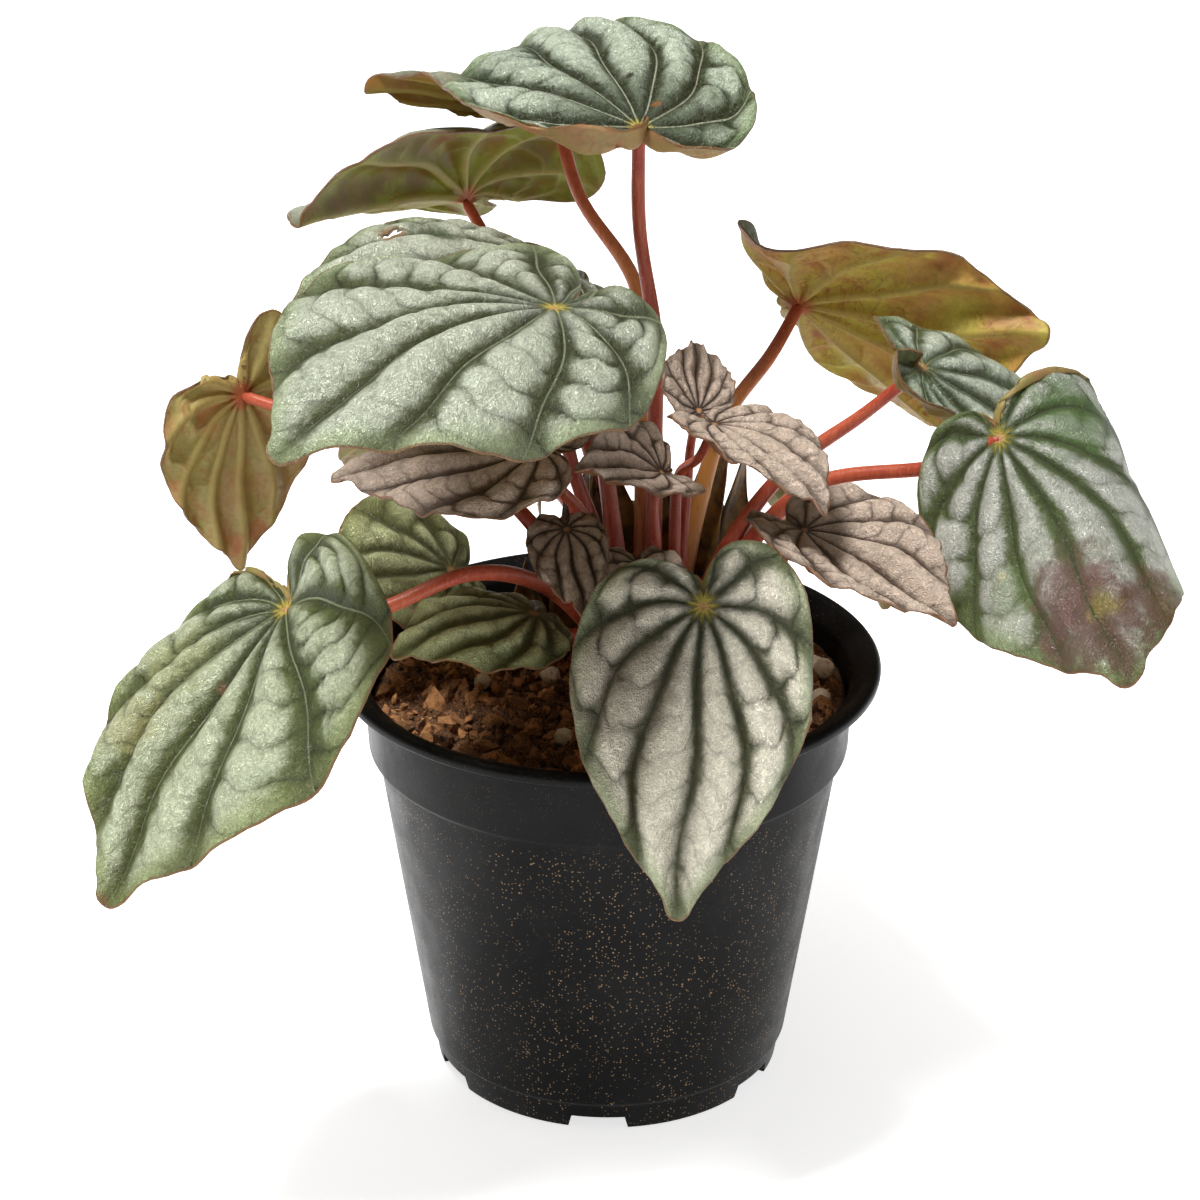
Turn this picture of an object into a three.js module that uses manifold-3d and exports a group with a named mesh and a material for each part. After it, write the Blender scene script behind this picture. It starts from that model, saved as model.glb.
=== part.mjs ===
// Potted peperomia: a black nursery pot filled with bark soil, a short crown with its red stalks,
// and a heart-shaped blade at the end of each stalk.
// Millimetres, +Z up, front towards -Y, origin on the floor under the middle of the plant's spread.
// Everything is drawn round the pot's axis, and the whole plant is then moved by PLANT_SHIFT.

import * as THREE from "three";
import { mergeVertices } from "three/addons/utils/BufferGeometryUtils.js";
import Module from "manifold-3d";

const wasm = await Module();
wasm.setup();

// From the pot's axis to the middle of the plant's spread
const PLANT_SHIFT = -5;

// Pot, from the floor up
const RIM_RADIUS = 60;
const POT_HEIGHT = 98;
const POT_SIDES = 60;
const FOOT_HEIGHT = 3.2;
const FOOT_COUNT = 6;
const FOOT_NOTCH_ANGLE = 20;
const FOOT_NOTCH_START = -93;
const DRAIN_COUNT = 6;
const DRAIN_RADIUS = 4;
const DRAIN_CIRCLE = 24;

// Soil
const FIT_GAP = 0.3;
const SOIL_BOTTOM = 4.9;
const SOIL_EDGE_Z = 87;
const SOIL_MIDDLE_Z = 91;
const SOIL_SIDES = 40;

// Crown and stalks
const CROWN = new THREE.Vector3(9, 10, 84);
const CROWN_RADIUS = 12;
const CROWN_TOP_Z = 97;
const STALK_SIDES = 7;
const STALK_STEPS = 10;

// Blades
const BLADE_THICKNESS = 0.8;
const RELIEF_SLOPE = 0.3;
const RELIEF_MOST = 4.2;

// Half of a heart-shaped outline as four Bezier curves from the tip round to the notch,
// with x as a share of the half width and y as a share of the length.
const OUTLINE = [
  [[0, 1], [0.07, 1], [0.09, 0.975], [0.12, 0.94]],
  [[0.12, 0.94], [0.42, 0.77], [1.03, 0.55], [1, 0.2]],
  [[1, 0.2], [1, -0.02], [0.75, -0.215], [0.4, -0.21]],
  [[0.4, -0.21], [0.18, -0.21], [0.04, -0.16], [0, -0.05]],
];

// Where the main veins meet the margin, as a share of its length from the tip to the notch,
// and the direction in which each one leaves the stalk.
const VEIN_SHARE = [0, 0.14, 0.36, 0.59, 0.79, 0.93, 1];
const VEIN_ANGLE = [0, 31, 62, 99, 137, 165, 180];

// Columns of the blade's mesh: on each vein and midway between two of them.
const COLUMNS = VEIN_SHARE.flatMap((a, k) => (k ? [(VEIN_SHARE[k - 1] + a) / 2, a] : [a]));
const LARGE_ROWS = [0.3, 0.6, 0.85, 1];
const SMALL_ROWS = [0.35, 0.7, 1];

const SILVER = "#93a08c";
const BROWN = "#8b786a";
const OLIVE = "#6f7a4c";

// Each blade: "at" is where its stalk meets it, "heading" the direction of its tip seen from above
// (0 is +X, 90 is +Y), "pitch" how far the tip points up and "roll" how far the right side is raised.
// "halves", "lobes" and "cups" hold the left and the right side. "droop" bends the tip down, "back"
// the lobes and "cups" the sides, all in degrees. "lean" sets the lobes over to the right, as a
// share of their length, "rims" turns up the margin of the lobes and "sway" bows the midrib to the
// right, both in millimetres. The stalk passes through "via".
const BLADES = [
  { name: "leaf_crest", color: SILVER, at: [6, 15, 213], heading: 104, pitch: 21, roll: -6,
    length: 66, halves: [39, 28], lobes: [0.6, 0.7], droop: 36, back: 14, cups: [26, 22],
    fold: 8, twist: 19, rims: [5, 3], via: [10, 20, 163], stalk: 1.9 },
  { name: "leaf_rear_left", color: OLIVE, at: [-34, 81, 177], heading: 231, pitch: 13, roll: -46,
    length: 61, halves: [35, 28], lobes: [2.4, 1.4], droop: 13, back: 18, cups: [80, 12],
    fold: 33, twist: 0, via: [-12, 50, 148], stalk: 1.8 },
  { name: "leaf_rear_top", color: OLIVE, at: [-12, 56, 205], heading: 171, pitch: 11, roll: -38,
    length: 43, halves: [26, 11], lobes: [1.1, 0.8], droop: 16, back: 13, cups: [60, -20],
    fold: -4, twist: -16, via: [6, 40, 169], stalk: 1.9 },
  { name: "leaf_front_left", color: SILVER, at: [-11, -51, 196], heading: 225, pitch: 6, roll: 0,
    length: 73, halves: [33, 42], lobes: [1.4, 1.6], droop: 33, back: -7, cups: [70, 2],
    fold: 1, twist: 6, lean: 0.6, sway: 3.3, via: [-3, 3, 153], stalk: 1.9 },
  { name: "leaf_torn", color: SILVER, at: [-11, 8, 184], heading: 210, pitch: 23, roll: 5,
    length: 63, halves: [26, 26], lobes: [1, 1], droop: 45, back: 20, cups: [20, 14],
    fold: 0, twist: 10, via: [-8, 4, 141], stalk: 1.7 },
  { name: "leaf_hanging_left", color: OLIVE, at: [-82, 28, 148], heading: 133, pitch: -88, roll: -6,
    length: 43, halves: [20, 20], lobes: [0.6, 2], droop: 0, back: 0, cups: [7, 11],
    fold: 3, twist: 5, via: [-39, 18, 141], stalk: 1.7 },
  { name: "leaf_low_left", color: SILVER, at: [-66, -46, 129], heading: 231, pitch: -34, roll: -17,
    length: 71, halves: [43, 29], lobes: [1.1, 0.4], droop: 11, back: 28, cups: [33, 41],
    fold: 20, twist: 29, lean: 2.4, sway: 1.4, via: [-29, -34, 132], stalk: 1.9 },
  { name: "leaf_front", color: SILVER, at: [19, -48, 131], heading: 263, pitch: -50, roll: 7,
    length: 64, halves: [24, 26], lobes: [1.2, 0.7], droop: 20, back: 15, cups: [16, 15],
    fold: 0, twist: 0, via: [20, -20, 116], stalk: 1.8 },
  { name: "leaf_right", color: SILVER, at: [81, -20, 157], heading: 294, pitch: -31, roll: -53,
    length: 64, halves: [45, 31], lobes: [0.6, 0.9], droop: 0, back: -11, cups: [134, 14],
    fold: -10, twist: 16, lean: -0.2, sway: -1.9, via: [45, 6, 136], stalk: 1.9 },
  { name: "leaf_rear_right", color: OLIVE, at: [43, 48, 163], heading: 341, pitch: -1, roll: 60,
    length: 57, halves: [40, 25], lobes: [0.7, 1.4], droop: 0, back: -55, cups: [-20, 48],
    fold: 6, twist: 38, rims: [3, 2], lean: 0.3, sway: -2.3, via: [26, 26, 144], stalk: 1.9 },
  { name: "leaf_right_small", color: SILVER, at: [67, 6, 163], heading: 14, pitch: -20, roll: -38,
    length: 47, halves: [20, 12], lobes: [1.0, 1.0], droop: 36, back: -8, cups: [38, 0],
    fold: -8, twist: -1, rims: [0, 4], lean: -0.4, sway: 4.5, via: [39, 10, 138], stalk: 1.8 },
  { name: "young_leaf_left", color: BROWN, at: [-15, -15, 152], heading: 173, pitch: -3, roll: 14,
    length: 46, halves: [19, 18], lobes: [0.8, 1.1], droop: 20, back: 16, cups: [25, 15],
    fold: 0, twist: 2, via: [-6, -6, 134], stalk: 1.5 },
  { name: "young_leaf_center", color: BROWN, at: [11, -5, 143], heading: 229, pitch: 18, roll: 32,
    length: 29, halves: [12, 12], lobes: [1, 0.9], droop: 0, back: 9, cups: [0, 0],
    fold: 22, twist: 5, via: [10, -3, 126], stalk: 1.3 },
  { name: "young_leaf_right", color: BROWN, at: [22, -10, 156], heading: 308, pitch: -1, roll: 8,
    length: 38, halves: [15, 12], lobes: [0.9, 0.9], droop: 24, back: 10, cups: [7, 6],
    fold: 10, twist: -6, via: [15, 5, 138], stalk: 1.3 },
  { name: "young_leaf_pleated", color: BROWN, at: [19, 3, 154], heading: 92, pitch: 34, roll: -12,
    length: 18, halves: [10, 8], lobes: [0.9, 0.9], droop: 0, back: 0, cups: [0, 0],
    fold: 26, twist: 2, via: [17, 9, 134], stalk: 1.2 },
  { name: "young_leaf_low_right", color: BROWN, at: [41, -20, 136], heading: 310, pitch: -7, roll: -2,
    length: 45, halves: [18, 15], lobes: [1.1, 1], droop: 2, back: 8, cups: [5, 6],
    fold: 17, twist: -12, via: [27, -9, 125], stalk: 1.4 },
  { name: "young_leaf_front", color: BROWN, at: [-9, -20, 136], heading: 279, pitch: -18, roll: -9,
    length: 25, halves: [8, 9], lobes: [0.9, 1.1], droop: 10, back: 10, cups: [2, 2],
    fold: 4, twist: 0, via: [-1, -8, 120], stalk: 1.1 },
  { name: "young_leaf_tiny", color: BROWN, at: [6, -22, 129], heading: 276, pitch: -15, roll: 4,
    length: 25, halves: [10, 9], lobes: [1, 1], droop: 10, back: 10, cups: [2, 2],
    fold: 7, twist: 2, via: [7, -8, 116], stalk: 1.1 },
  { name: "leaf_low_behind", color: SILVER, at: [-35, 11, 113], heading: 224, pitch: 15, roll: 36,
    length: 34, halves: [15, 23], lobes: [1, 1.4], droop: 22, back: 5, cups: [20, 19],
    fold: 2, twist: 4, via: [-16, 10, 98], stalk: 1.5 },
  { name: "leaf_low_front", color: SILVER, at: [-16, -25, 119], heading: 220, pitch: 14, roll: 13,
    length: 36, halves: [14, 15], lobes: [0.9, 1], droop: 30, back: 20, cups: [26, 20],
    fold: -5, twist: 12, via: [-4, -12, 108], stalk: 1.5 },
  { name: "leaf_back_right", color: SILVER, at: [53, 73, 104], heading: 50, pitch: -45, roll: 0,
    length: 44, halves: [20, 20], lobes: [0.9, 0.9], droop: 22, back: 16, cups: [16, 16],
    fold: 0, twist: 6, via: [29, 41, 112], stalk: 1.6 },
  { name: "leaf_back_left", color: SILVER, at: [-36, 66, 133], heading: 122, pitch: -34, roll: 0,
    length: 54, halves: [24, 23], lobes: [1, 1.1], droop: 22, back: 16, cups: [18, 16],
    fold: 0, twist: -6, via: [-12, 42, 120], stalk: 1.7 },
  { name: "leaf_back_middle", color: SILVER, at: [7, 69, 104], heading: 92, pitch: -50, roll: 0,
    length: 45, halves: [20, 21], lobes: [0.7, 0.7], droop: 16, back: 14, cups: [16, 18],
    fold: 0, twist: 4, via: [9, 42, 117], stalk: 1.5 },
];

// The value at x on the line through the points that xs and ys hold
function interpolate(x, xs, ys) {
  let i = 1;
  while (i < xs.length - 1 && x > xs[i]) i += 1;
  const f = (x - xs[i - 1]) / (xs[i] - xs[i - 1]);
  return ys[i - 1] + (ys[i] - ys[i - 1]) * f;
}

function bezier(points, t) {
  const s = 1 - t;
  const weights = [s * s * s, 3 * s * s * t, 3 * s * t * t, t * t * t];
  return [0, 1].map((k) => points.reduce((sum, p, i) => sum + weights[i] * p[k], 0));
}

// Half outline in millimetres with the share of its length at each point
function halfOutline(length, half, lobe) {
  const points = [];
  OUTLINE.forEach((curve, k) => {
    for (let i = k ? 1 : 0; i <= 40; i += 1) {
      const [x, y] = bezier(curve.map((p) => [p[0], p[1] < 0 ? p[1] * lobe : p[1]]), i / 40);
      points.push([x * half, y * length]);
    }
  });
  const share = [0];
  for (let i = 1; i < points.length; i += 1) {
    const [dx, dy] = [points[i][0] - points[i - 1][0], points[i][1] - points[i - 1][1]];
    share.push(share[i - 1] + Math.hypot(dx, dy));
  }
  const whole = share[share.length - 1];
  return { share: share.map((s) => s / whole), x: points.map((p) => p[0]), y: points.map((p) => p[1]) };
}

// One blade's surface: side is -1 or 1, a the share of the margin from tip to notch and t the way
// out from the stalk to the margin. It gives a point in millimetres.
function bladeSurface(blade) {
  const rad = THREE.MathUtils.degToRad;
  const sin = Math.sin;
  const cos = Math.cos;
  const heading = rad(blade.heading);
  const pitch = rad(blade.pitch);
  const roll = rad(blade.roll);
  const ahead = new THREE.Vector3(cos(heading) * cos(pitch), sin(heading) * cos(pitch), sin(pitch));
  const level = new THREE.Vector3(sin(heading), -cos(heading), 0);
  const above = new THREE.Vector3().crossVectors(level, ahead);
  const across = level.clone().multiplyScalar(cos(roll)).addScaledVector(above, sin(roll));
  const normal = above.clone().multiplyScalar(cos(roll)).addScaledVector(level, -sin(roll));
  const outlines = [0, 1].map((k) => halfOutline(blade.length, blade.halves[k], blade.lobes[k]));

  function flat(side, a, t) {
    const outline = outlines[side > 0 ? 1 : 0];
    const edge = [interpolate(a, outline.share, outline.x), interpolate(a, outline.share, outline.y)];
    const reach = Math.hypot(edge[0], edge[1]);
    const angle = rad(interpolate(a, VEIN_SHARE, VEIN_ANGLE));
    const pull = (0.5 + 0.2 * a) * reach;
    const x = 2 * (1 - t) * t * sin(angle) * pull + t * t * edge[0];
    const y = 2 * (1 - t) * t * cos(angle) * pull + t * t * edge[1];
    return { x, y, reach };
  }

  // The leaf is puffed up between its sunken veins
  function relief(a, t, reach) {
    let k = 0;
    while (k < 5 && a >= VEIN_SHARE[k + 1]) k += 1;
    const f = (a - VEIN_SHARE[k]) / (VEIN_SHARE[k + 1] - VEIN_SHARE[k]);
    const width = t * reach * rad(VEIN_ANGLE[k + 1] - VEIN_ANGLE[k]);
    const puff = 1 - Math.abs(2 * f - 1) ** 1.8;
    const full = RELIEF_MOST * (1 - Math.exp((-RELIEF_SLOPE * width) / RELIEF_MOST));
    return full * puff * (1 - 0.5 * t ** 5);
  }

  // The turned-up margin of the lobes
  function rim(side, a, t) {
    const most = (blade.rims || [0, 0])[side > 0 ? 1 : 0];
    return most * THREE.MathUtils.smoothstep(t, 0.55, 1) ** 2 * THREE.MathUtils.smoothstep(a, 0.35, 0.6);
  }

  // An arc of the given length and total angle: how far it runs along and how far it falls
  function arc(s, angle, whole) {
    const curve = Math.abs(angle) < 1e-4 ? 1e-6 : angle / whole;
    return { along: sin(curve * s) / curve, fall: (1 - cos(curve * s)) / curve, turned: curve * s };
  }

  return function point(half, a, t) {
    const { x, y, reach } = flat(half, a, t);
    const bowed = (blade.sway || 0) * 4 * t * (1 - t) * THREE.MathUtils.smoothstep(1 - a, 0.3, 1);
    const out = half * x + bowed;
    const side = out < 0 ? -1 : 1;
    const lengthwise = y >= 0 ? arc(y, rad(blade.droop), blade.length)
      : arc(-y, rad(blade.back), 0.22 * blade.length);
    const k = side > 0 ? 1 : 0;
    const sideways = arc(Math.abs(out), rad(blade.cups[k]), blade.halves[k]);
    const fold = rad(blade.fold);
    let u = side * (sideways.along * cos(fold) + sideways.fall * sin(fold));
    let h = sideways.along * sin(fold) - sideways.fall * cos(fold) + relief(a, t, reach) + rim(side, a, t);
    const twist = rad(blade.twist) * (y / blade.length);
    [u, h] = [u * cos(twist) - h * sin(twist), u * sin(twist) + h * cos(twist)];
    const behind = Math.max(-y, 0);
    u += ((blade.lean || 0) * behind * behind) / (behind + 10);
    const sign = y >= 0 ? 1 : -1;
    const turned = sign * lengthwise.turned;
    return new THREE.Vector3(...blade.at)
      .addScaledVector(ahead, sign * lengthwise.along + h * sin(turned))
      .addScaledVector(normal, h * cos(turned) - lengthwise.fall)
      .addScaledVector(across, u);
  };
}

// The blade's normal at the stalk
function bladeNormal(blade) {
  const point = bladeSurface(blade);
  const at = new THREE.Vector3(...blade.at);
  const ahead = point(1, 0, 0.05).sub(at).normalize();
  const right = point(1, 0.58, 0.05).sub(at);
  const left = point(-1, 0.58, 0.05).sub(at);
  return right.sub(left).cross(ahead).normalize();
}

function geometryFrom(positions, triangles) {
  const geometry = new THREE.BufferGeometry();
  const numbers = positions.flatMap((p) => [p.x, p.y, p.z]);
  geometry.setAttribute("position", new THREE.Float32BufferAttribute(numbers, 3));
  geometry.setIndex(triangles);
  return geometry;
}

// A closed blade: the same triangles on its top and its underside, and a strip round the margin
function bladeGeometry(blade) {
  const point = bladeSurface(blade);
  const rows = blade.length > 40 ? LARGE_ROWS : SMALL_ROWS;
  const columns = [
    ...COLUMNS.map((a) => [1, a]),
    ...COLUMNS.slice(1, -1).reverse().map((a) => [-1, a]),
  ];
  const n = columns.length;
  const top = [new THREE.Vector3(...blade.at)];
  rows.forEach((t) => columns.forEach(([side, a]) => top.push(point(side, a, t))));
  const faces = [];
  for (let j = 0; j < n; j += 1) {
    const next = (j + 1) % n;
    faces.push([0, 1 + next, 1 + j]);
    for (let i = 1; i < rows.length; i += 1) {
      const inner = 1 + (i - 1) * n;
      const outer = 1 + i * n;
      faces.push([inner + j, inner + next, outer + next]);
      faces.push([inner + j, outer + next, outer + j]);
    }
  }
  const shell = geometryFrom(top, faces.flat());
  shell.computeVertexNormals();
  const normals = shell.getAttribute("normal");
  const under = top.map((p, i) => p.clone().addScaledVector(
    new THREE.Vector3(normals.getX(i), normals.getY(i), normals.getZ(i)), -BLADE_THICKNESS));
  const count = top.length;
  const triangles = faces.flatMap(([i, j, k]) => [i, j, k, count + i, count + k, count + j]);
  const margin = 1 + (rows.length - 1) * n;
  for (let j = 0; j < n; j += 1) {
    const a = margin + j;
    const b = margin + ((j + 1) % n);
    triangles.push(a, b, count + b, a, count + b, count + a);
  }
  return geometryFrom([...top, ...under], triangles);
}

// A stalk as a closed tube whose last ring lies in the plane of the blade
function stalkGeometry(blade) {
  const normal = bladeNormal(blade);
  const at = new THREE.Vector3(...blade.at);
  // the blade's sides droop beside the stalk, so it ends a little lower under a strongly bent one
  const point = bladeSurface(blade);
  const row = blade.length > 40 ? LARGE_ROWS[0] : SMALL_ROWS[0];
  const falls = COLUMNS.flatMap((a) => [-1, 1].map((side) => {
    const out = point(side, a, row).sub(at);
    return -out.dot(normal) / out.length();
  }));
  const clearance = BLADE_THICKNESS + 1.2 * FIT_GAP + blade.stalk * Math.max(0, ...falls);
  const end = at.clone().addScaledVector(normal, -clearance);
  const via = new THREE.Vector3(...blade.via);
  const outward = new THREE.Vector3(via.x - CROWN.x, via.y - CROWN.y, 0);
  const start = outward.clone().setLength(Math.min(outward.length(), CROWN_RADIUS * 0.5));
  start.add(new THREE.Vector3(CROWN.x, CROWN.y, CROWN_TOP_Z - 6));
  const arrive = end.clone().sub(via).normalize().addScaledVector(normal, 0.3).normalize();
  const span = end.distanceTo(via);
  const handle = end.clone().addScaledVector(arrive, -0.45 * span);
  const curve = new THREE.CatmullRomCurve3([
    start,
    start.clone().lerp(via, 0.5).addScaledVector(new THREE.Vector3(0, 0, 1), 0.12 * start.distanceTo(via)),
    via,
    handle,
    end,
  ], false, "centripetal");
  const rings = [];
  for (let i = 0; i <= STALK_STEPS; i += 1) {
    const t = i / STALK_STEPS;
    const centre = curve.getPointAt(t);
    const tangent = i === STALK_STEPS ? normal : curve.getTangentAt(t);
    rings.push({ centre, tangent: tangent.clone(), radius: blade.stalk * (1.12 - 0.38 * t) });
  }
  // each ring's first spoke follows the one before it, so the tube doesn't twist
  const spoke = new THREE.Vector3(1, 0, 0).cross(rings[0].tangent).normalize();
  const positions = [];
  rings.forEach(({ centre, tangent, radius }) => {
    spoke.addScaledVector(tangent, -spoke.dot(tangent)).normalize();
    const other = new THREE.Vector3().crossVectors(tangent, spoke);
    for (let j = 0; j < STALK_SIDES; j += 1) {
      const angle = (2 * Math.PI * j) / STALK_SIDES;
      positions.push(centre.clone().addScaledVector(spoke, radius * Math.cos(angle))
        .addScaledVector(other, radius * Math.sin(angle)));
    }
  });
  const triangles = [];
  for (let i = 0; i < STALK_STEPS; i += 1) {
    for (let j = 0; j < STALK_SIDES; j += 1) {
      const a = i * STALK_SIDES + j;
      const b = i * STALK_SIDES + ((j + 1) % STALK_SIDES);
      triangles.push(a, b, b + STALK_SIDES, a, b + STALK_SIDES, a + STALK_SIDES);
    }
  }
  const last = STALK_STEPS * STALK_SIDES;
  for (let j = 1; j < STALK_SIDES - 1; j += 1) {
    triangles.push(0, j + 1, j);
    triangles.push(last, last + j, last + j + 1);
  }
  return geometryFrom(positions, triangles);
}

function solid(geometry) {
  const plain = geometry.clone();
  plain.deleteAttribute("normal");
  plain.deleteAttribute("uv");
  const merged = mergeVertices(plain, 1e-4);
  return new wasm.Manifold(new wasm.Mesh({
    numProp: 3,
    vertProperties: merged.getAttribute("position").array,
    triVerts: new Uint32Array(merged.index.array),
  }));
}

function geometryOf(manifold) {
  const mesh = manifold.getMesh();
  const geometry = new THREE.BufferGeometry();
  geometry.setAttribute("position", new THREE.Float32BufferAttribute(mesh.vertProperties, 3));
  geometry.setIndex(new THREE.Uint32BufferAttribute(mesh.triVerts, 1));
  return geometry;
}

// A closed profile of [radius, height] pairs turned round +Z
function turned(profile, sides) {
  const points = [...profile, profile[0]].map(([r, z]) => new THREE.Vector2(r, z));
  return new THREE.LatheGeometry(points, sides).rotateX(Math.PI / 2);
}

function potGeometry() {
  const profile = [
    [0, FOOT_HEIGHT], [35.5, FOOT_HEIGHT], [35.8, 0], [38.8, 0], [40, 6.6], [40.9, 7.4],
    [51.3, 77], [53.3, 77.9], [54, 95.2], [RIM_RADIUS, 95.5], [RIM_RADIUS - 0.1, 97.2],
    [RIM_RADIUS - 0.9, POT_HEIGHT], [56.3, POT_HEIGHT], [53, 95], [52.2, 79], [50.1, 76.6],
    [39.6, 8], [38.6, 4.6], [0, 4.6],
  ];
  let pot = solid(turned(profile, POT_SIDES));
  for (let i = 0; i < FOOT_COUNT; i += 1) {
    const angle = THREE.MathUtils.degToRad(FOOT_NOTCH_START + (360 / FOOT_COUNT) * i);
    const width = 2 * 38 * Math.sin(THREE.MathUtils.degToRad(FOOT_NOTCH_ANGLE / 2));
    const notch = new THREE.BoxGeometry(8, width, 2 * FOOT_HEIGHT)
      .translate(37, 0, 0).rotateZ(angle);
    pot = pot.subtract(solid(notch));
  }
  for (let i = 0; i < DRAIN_COUNT; i += 1) {
    const angle = (2 * Math.PI * (i + 0.5)) / DRAIN_COUNT;
    const drain = new THREE.CylinderGeometry(DRAIN_RADIUS, DRAIN_RADIUS, 10, 16).rotateX(Math.PI / 2)
      .translate(DRAIN_CIRCLE * Math.cos(angle), DRAIN_CIRCLE * Math.sin(angle), 4);
    pot = pot.subtract(solid(drain));
  }
  return geometryOf(pot);
}

// Soil height by a sum of waves, with shallow lumps of bark
function soilHeight(x, y) {
  const r = Math.hypot(x, y) / 52;
  const mound = SOIL_EDGE_Z + (SOIL_MIDDLE_Z - SOIL_EDGE_Z) * (1 - r * r);
  const lumps = 0.7 * Math.sin(0.31 * x + 1.3) * Math.sin(0.27 * y + 0.4)
    + 0.5 * Math.sin(0.63 * x + 0.71 * y + 2.1) * Math.cos(0.57 * y - 0.49 * x);
  return mound + lumps * Math.min(1, 4 * (1 - r));
}

function soilGeometry() {
  const wall = [[38.1, SOIL_BOTTOM], [39.1, 8], [49.5, 76.4], [51.7, 79], [52.1, SOIL_EDGE_Z - 1]];
  const rings = [0.25, 0.42, 0.58, 0.74, 0.88, 1];
  const positions = [new THREE.Vector3(0, 0, SOIL_BOTTOM)];
  const ring = (radius, height) => {
    for (let j = 0; j < SOIL_SIDES; j += 1) {
      const angle = (2 * Math.PI * j) / SOIL_SIDES;
      const x = radius * Math.cos(angle);
      const y = radius * Math.sin(angle);
      positions.push(new THREE.Vector3(x, y, height(x, y)));
    }
  };
  wall.forEach(([r, z]) => ring(r, () => z));
  [...rings].reverse().forEach((f) => ring(52.1 * f, soilHeight));
  positions.push(new THREE.Vector3(0, 0, soilHeight(0, 0)));
  const count = wall.length + rings.length;
  const top = positions.length - 1;
  const triangles = [];
  for (let j = 0; j < SOIL_SIDES; j += 1) {
    const next = (j + 1) % SOIL_SIDES;
    triangles.push(0, 1 + next, 1 + j);
    for (let i = 0; i < count - 1; i += 1) {
      const a = 1 + i * SOIL_SIDES;
      const b = a + SOIL_SIDES;
      triangles.push(a + j, a + next, b + next, a + j, b + next, b + j);
    }
    const last = 1 + (count - 1) * SOIL_SIDES;
    triangles.push(last + j, last + next, top);
  }
  const hole = new THREE.CylinderGeometry(CROWN_RADIUS + 1.5 * FIT_GAP, CROWN_RADIUS + 1.5 * FIT_GAP, 40, 24)
    .rotateX(Math.PI / 2).translate(CROWN.x, CROWN.y, CROWN.z - FIT_GAP + 20);
  return geometryOf(solid(geometryFrom(positions, triangles)).subtract(solid(hole)));
}

function crownGeometry() {
  const profile = [
    new THREE.Vector2(0, CROWN.z),
    new THREE.Vector2(CROWN_RADIUS, CROWN.z),
    new THREE.Vector2(CROWN_RADIUS, CROWN_TOP_Z - 5),
    new THREE.Vector2(CROWN_RADIUS * 0.75, CROWN_TOP_Z - 1),
    new THREE.Vector2(0, CROWN_TOP_Z),
  ];
  const stump = new THREE.LatheGeometry(profile, 20).rotateX(Math.PI / 2).translate(CROWN.x, CROWN.y, 0);
  let crown = solid(stump);
  BLADES.forEach((blade) => {
    crown = crown.add(solid(stalkGeometry(blade)));
  });
  return geometryOf(crown);
}

function piece(name, geometry, color, roughness) {
  const material = new THREE.MeshStandardMaterial({ color, roughness, metalness: 0, side: THREE.FrontSide });
  const mesh = new THREE.Mesh(geometry, material);
  mesh.name = name;
  return mesh;
}

const plant = new THREE.Group();
plant.position.x = PLANT_SHIFT;
plant.add(piece("pot", potGeometry(), "#1d1e20", 0.45));
plant.add(piece("soil", soilGeometry(), "#4a2c1c", 0.95));
plant.add(piece("crown_and_stalks", crownGeometry(), "#a8442f", 0.45));
BLADES.forEach((blade) => {
  plant.add(piece(blade.name, bladeGeometry(blade), blade.color, 0.5));
});

export default plant;
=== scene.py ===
import math

import bmesh
import bpy
import numpy as np
from mathutils import Matrix, Vector


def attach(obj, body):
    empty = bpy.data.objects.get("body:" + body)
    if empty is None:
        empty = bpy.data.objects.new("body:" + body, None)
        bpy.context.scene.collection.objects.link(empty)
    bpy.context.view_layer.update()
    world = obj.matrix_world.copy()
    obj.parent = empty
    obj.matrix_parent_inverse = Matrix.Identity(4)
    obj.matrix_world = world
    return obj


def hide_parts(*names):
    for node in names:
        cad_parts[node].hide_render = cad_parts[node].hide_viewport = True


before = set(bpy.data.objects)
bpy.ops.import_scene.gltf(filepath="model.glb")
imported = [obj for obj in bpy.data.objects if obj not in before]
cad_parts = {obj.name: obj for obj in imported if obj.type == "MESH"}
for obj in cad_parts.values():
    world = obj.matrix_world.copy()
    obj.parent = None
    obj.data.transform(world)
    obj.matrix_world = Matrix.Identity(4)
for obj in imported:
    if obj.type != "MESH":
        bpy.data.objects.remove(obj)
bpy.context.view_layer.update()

# Millimetres in the tables of the plant, metres in the scene
MM = 0.001
TURN = 2 * math.pi

# From the pot's axis to the origin, which lies under the middle of the plant's spread
PLANT_SHIFT = -5.0

# Camera, from the pot's axis, with its angles in radians
CAMERA_PLACE = (-1.95, -678.4, 415.5)
CAMERA_PITCH = 0.422
CAMERA_ROLL = 0.003
CAMERA_LENS = 102.0
SENSOR_WIDTH = 36

# Light: place and size in metres, power in watts and angles in degrees, and how bright the surround
# and the floor are
LIGHT_TARGET = (0, 0, 0.13)
KEY_LIGHT = ((-0.36, -0.24, 1.3), 0.32, 22.0)
FILL_LIGHT = ((0.9, -0.5, 0.8), 0.8, 1.0)
SUN_POWER = 0.8
SUN_SPREAD = 60
SUN_TILT = (-12, -8)
SURROUND_POWER = 0.11
FLOOR_SIZE = 40
FLOOR_COLOR = (0.93, 0.93, 0.93)
FLOOR_GLOW = 0.73

# Each piece draws its own random numbers
BLADE_SEED = 100
STALK_SEED = 17
BASE_SEED = 29
SOIL_SEED = 5
CHIP_SEED = 11
PERLITE_SEED = 3

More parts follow.
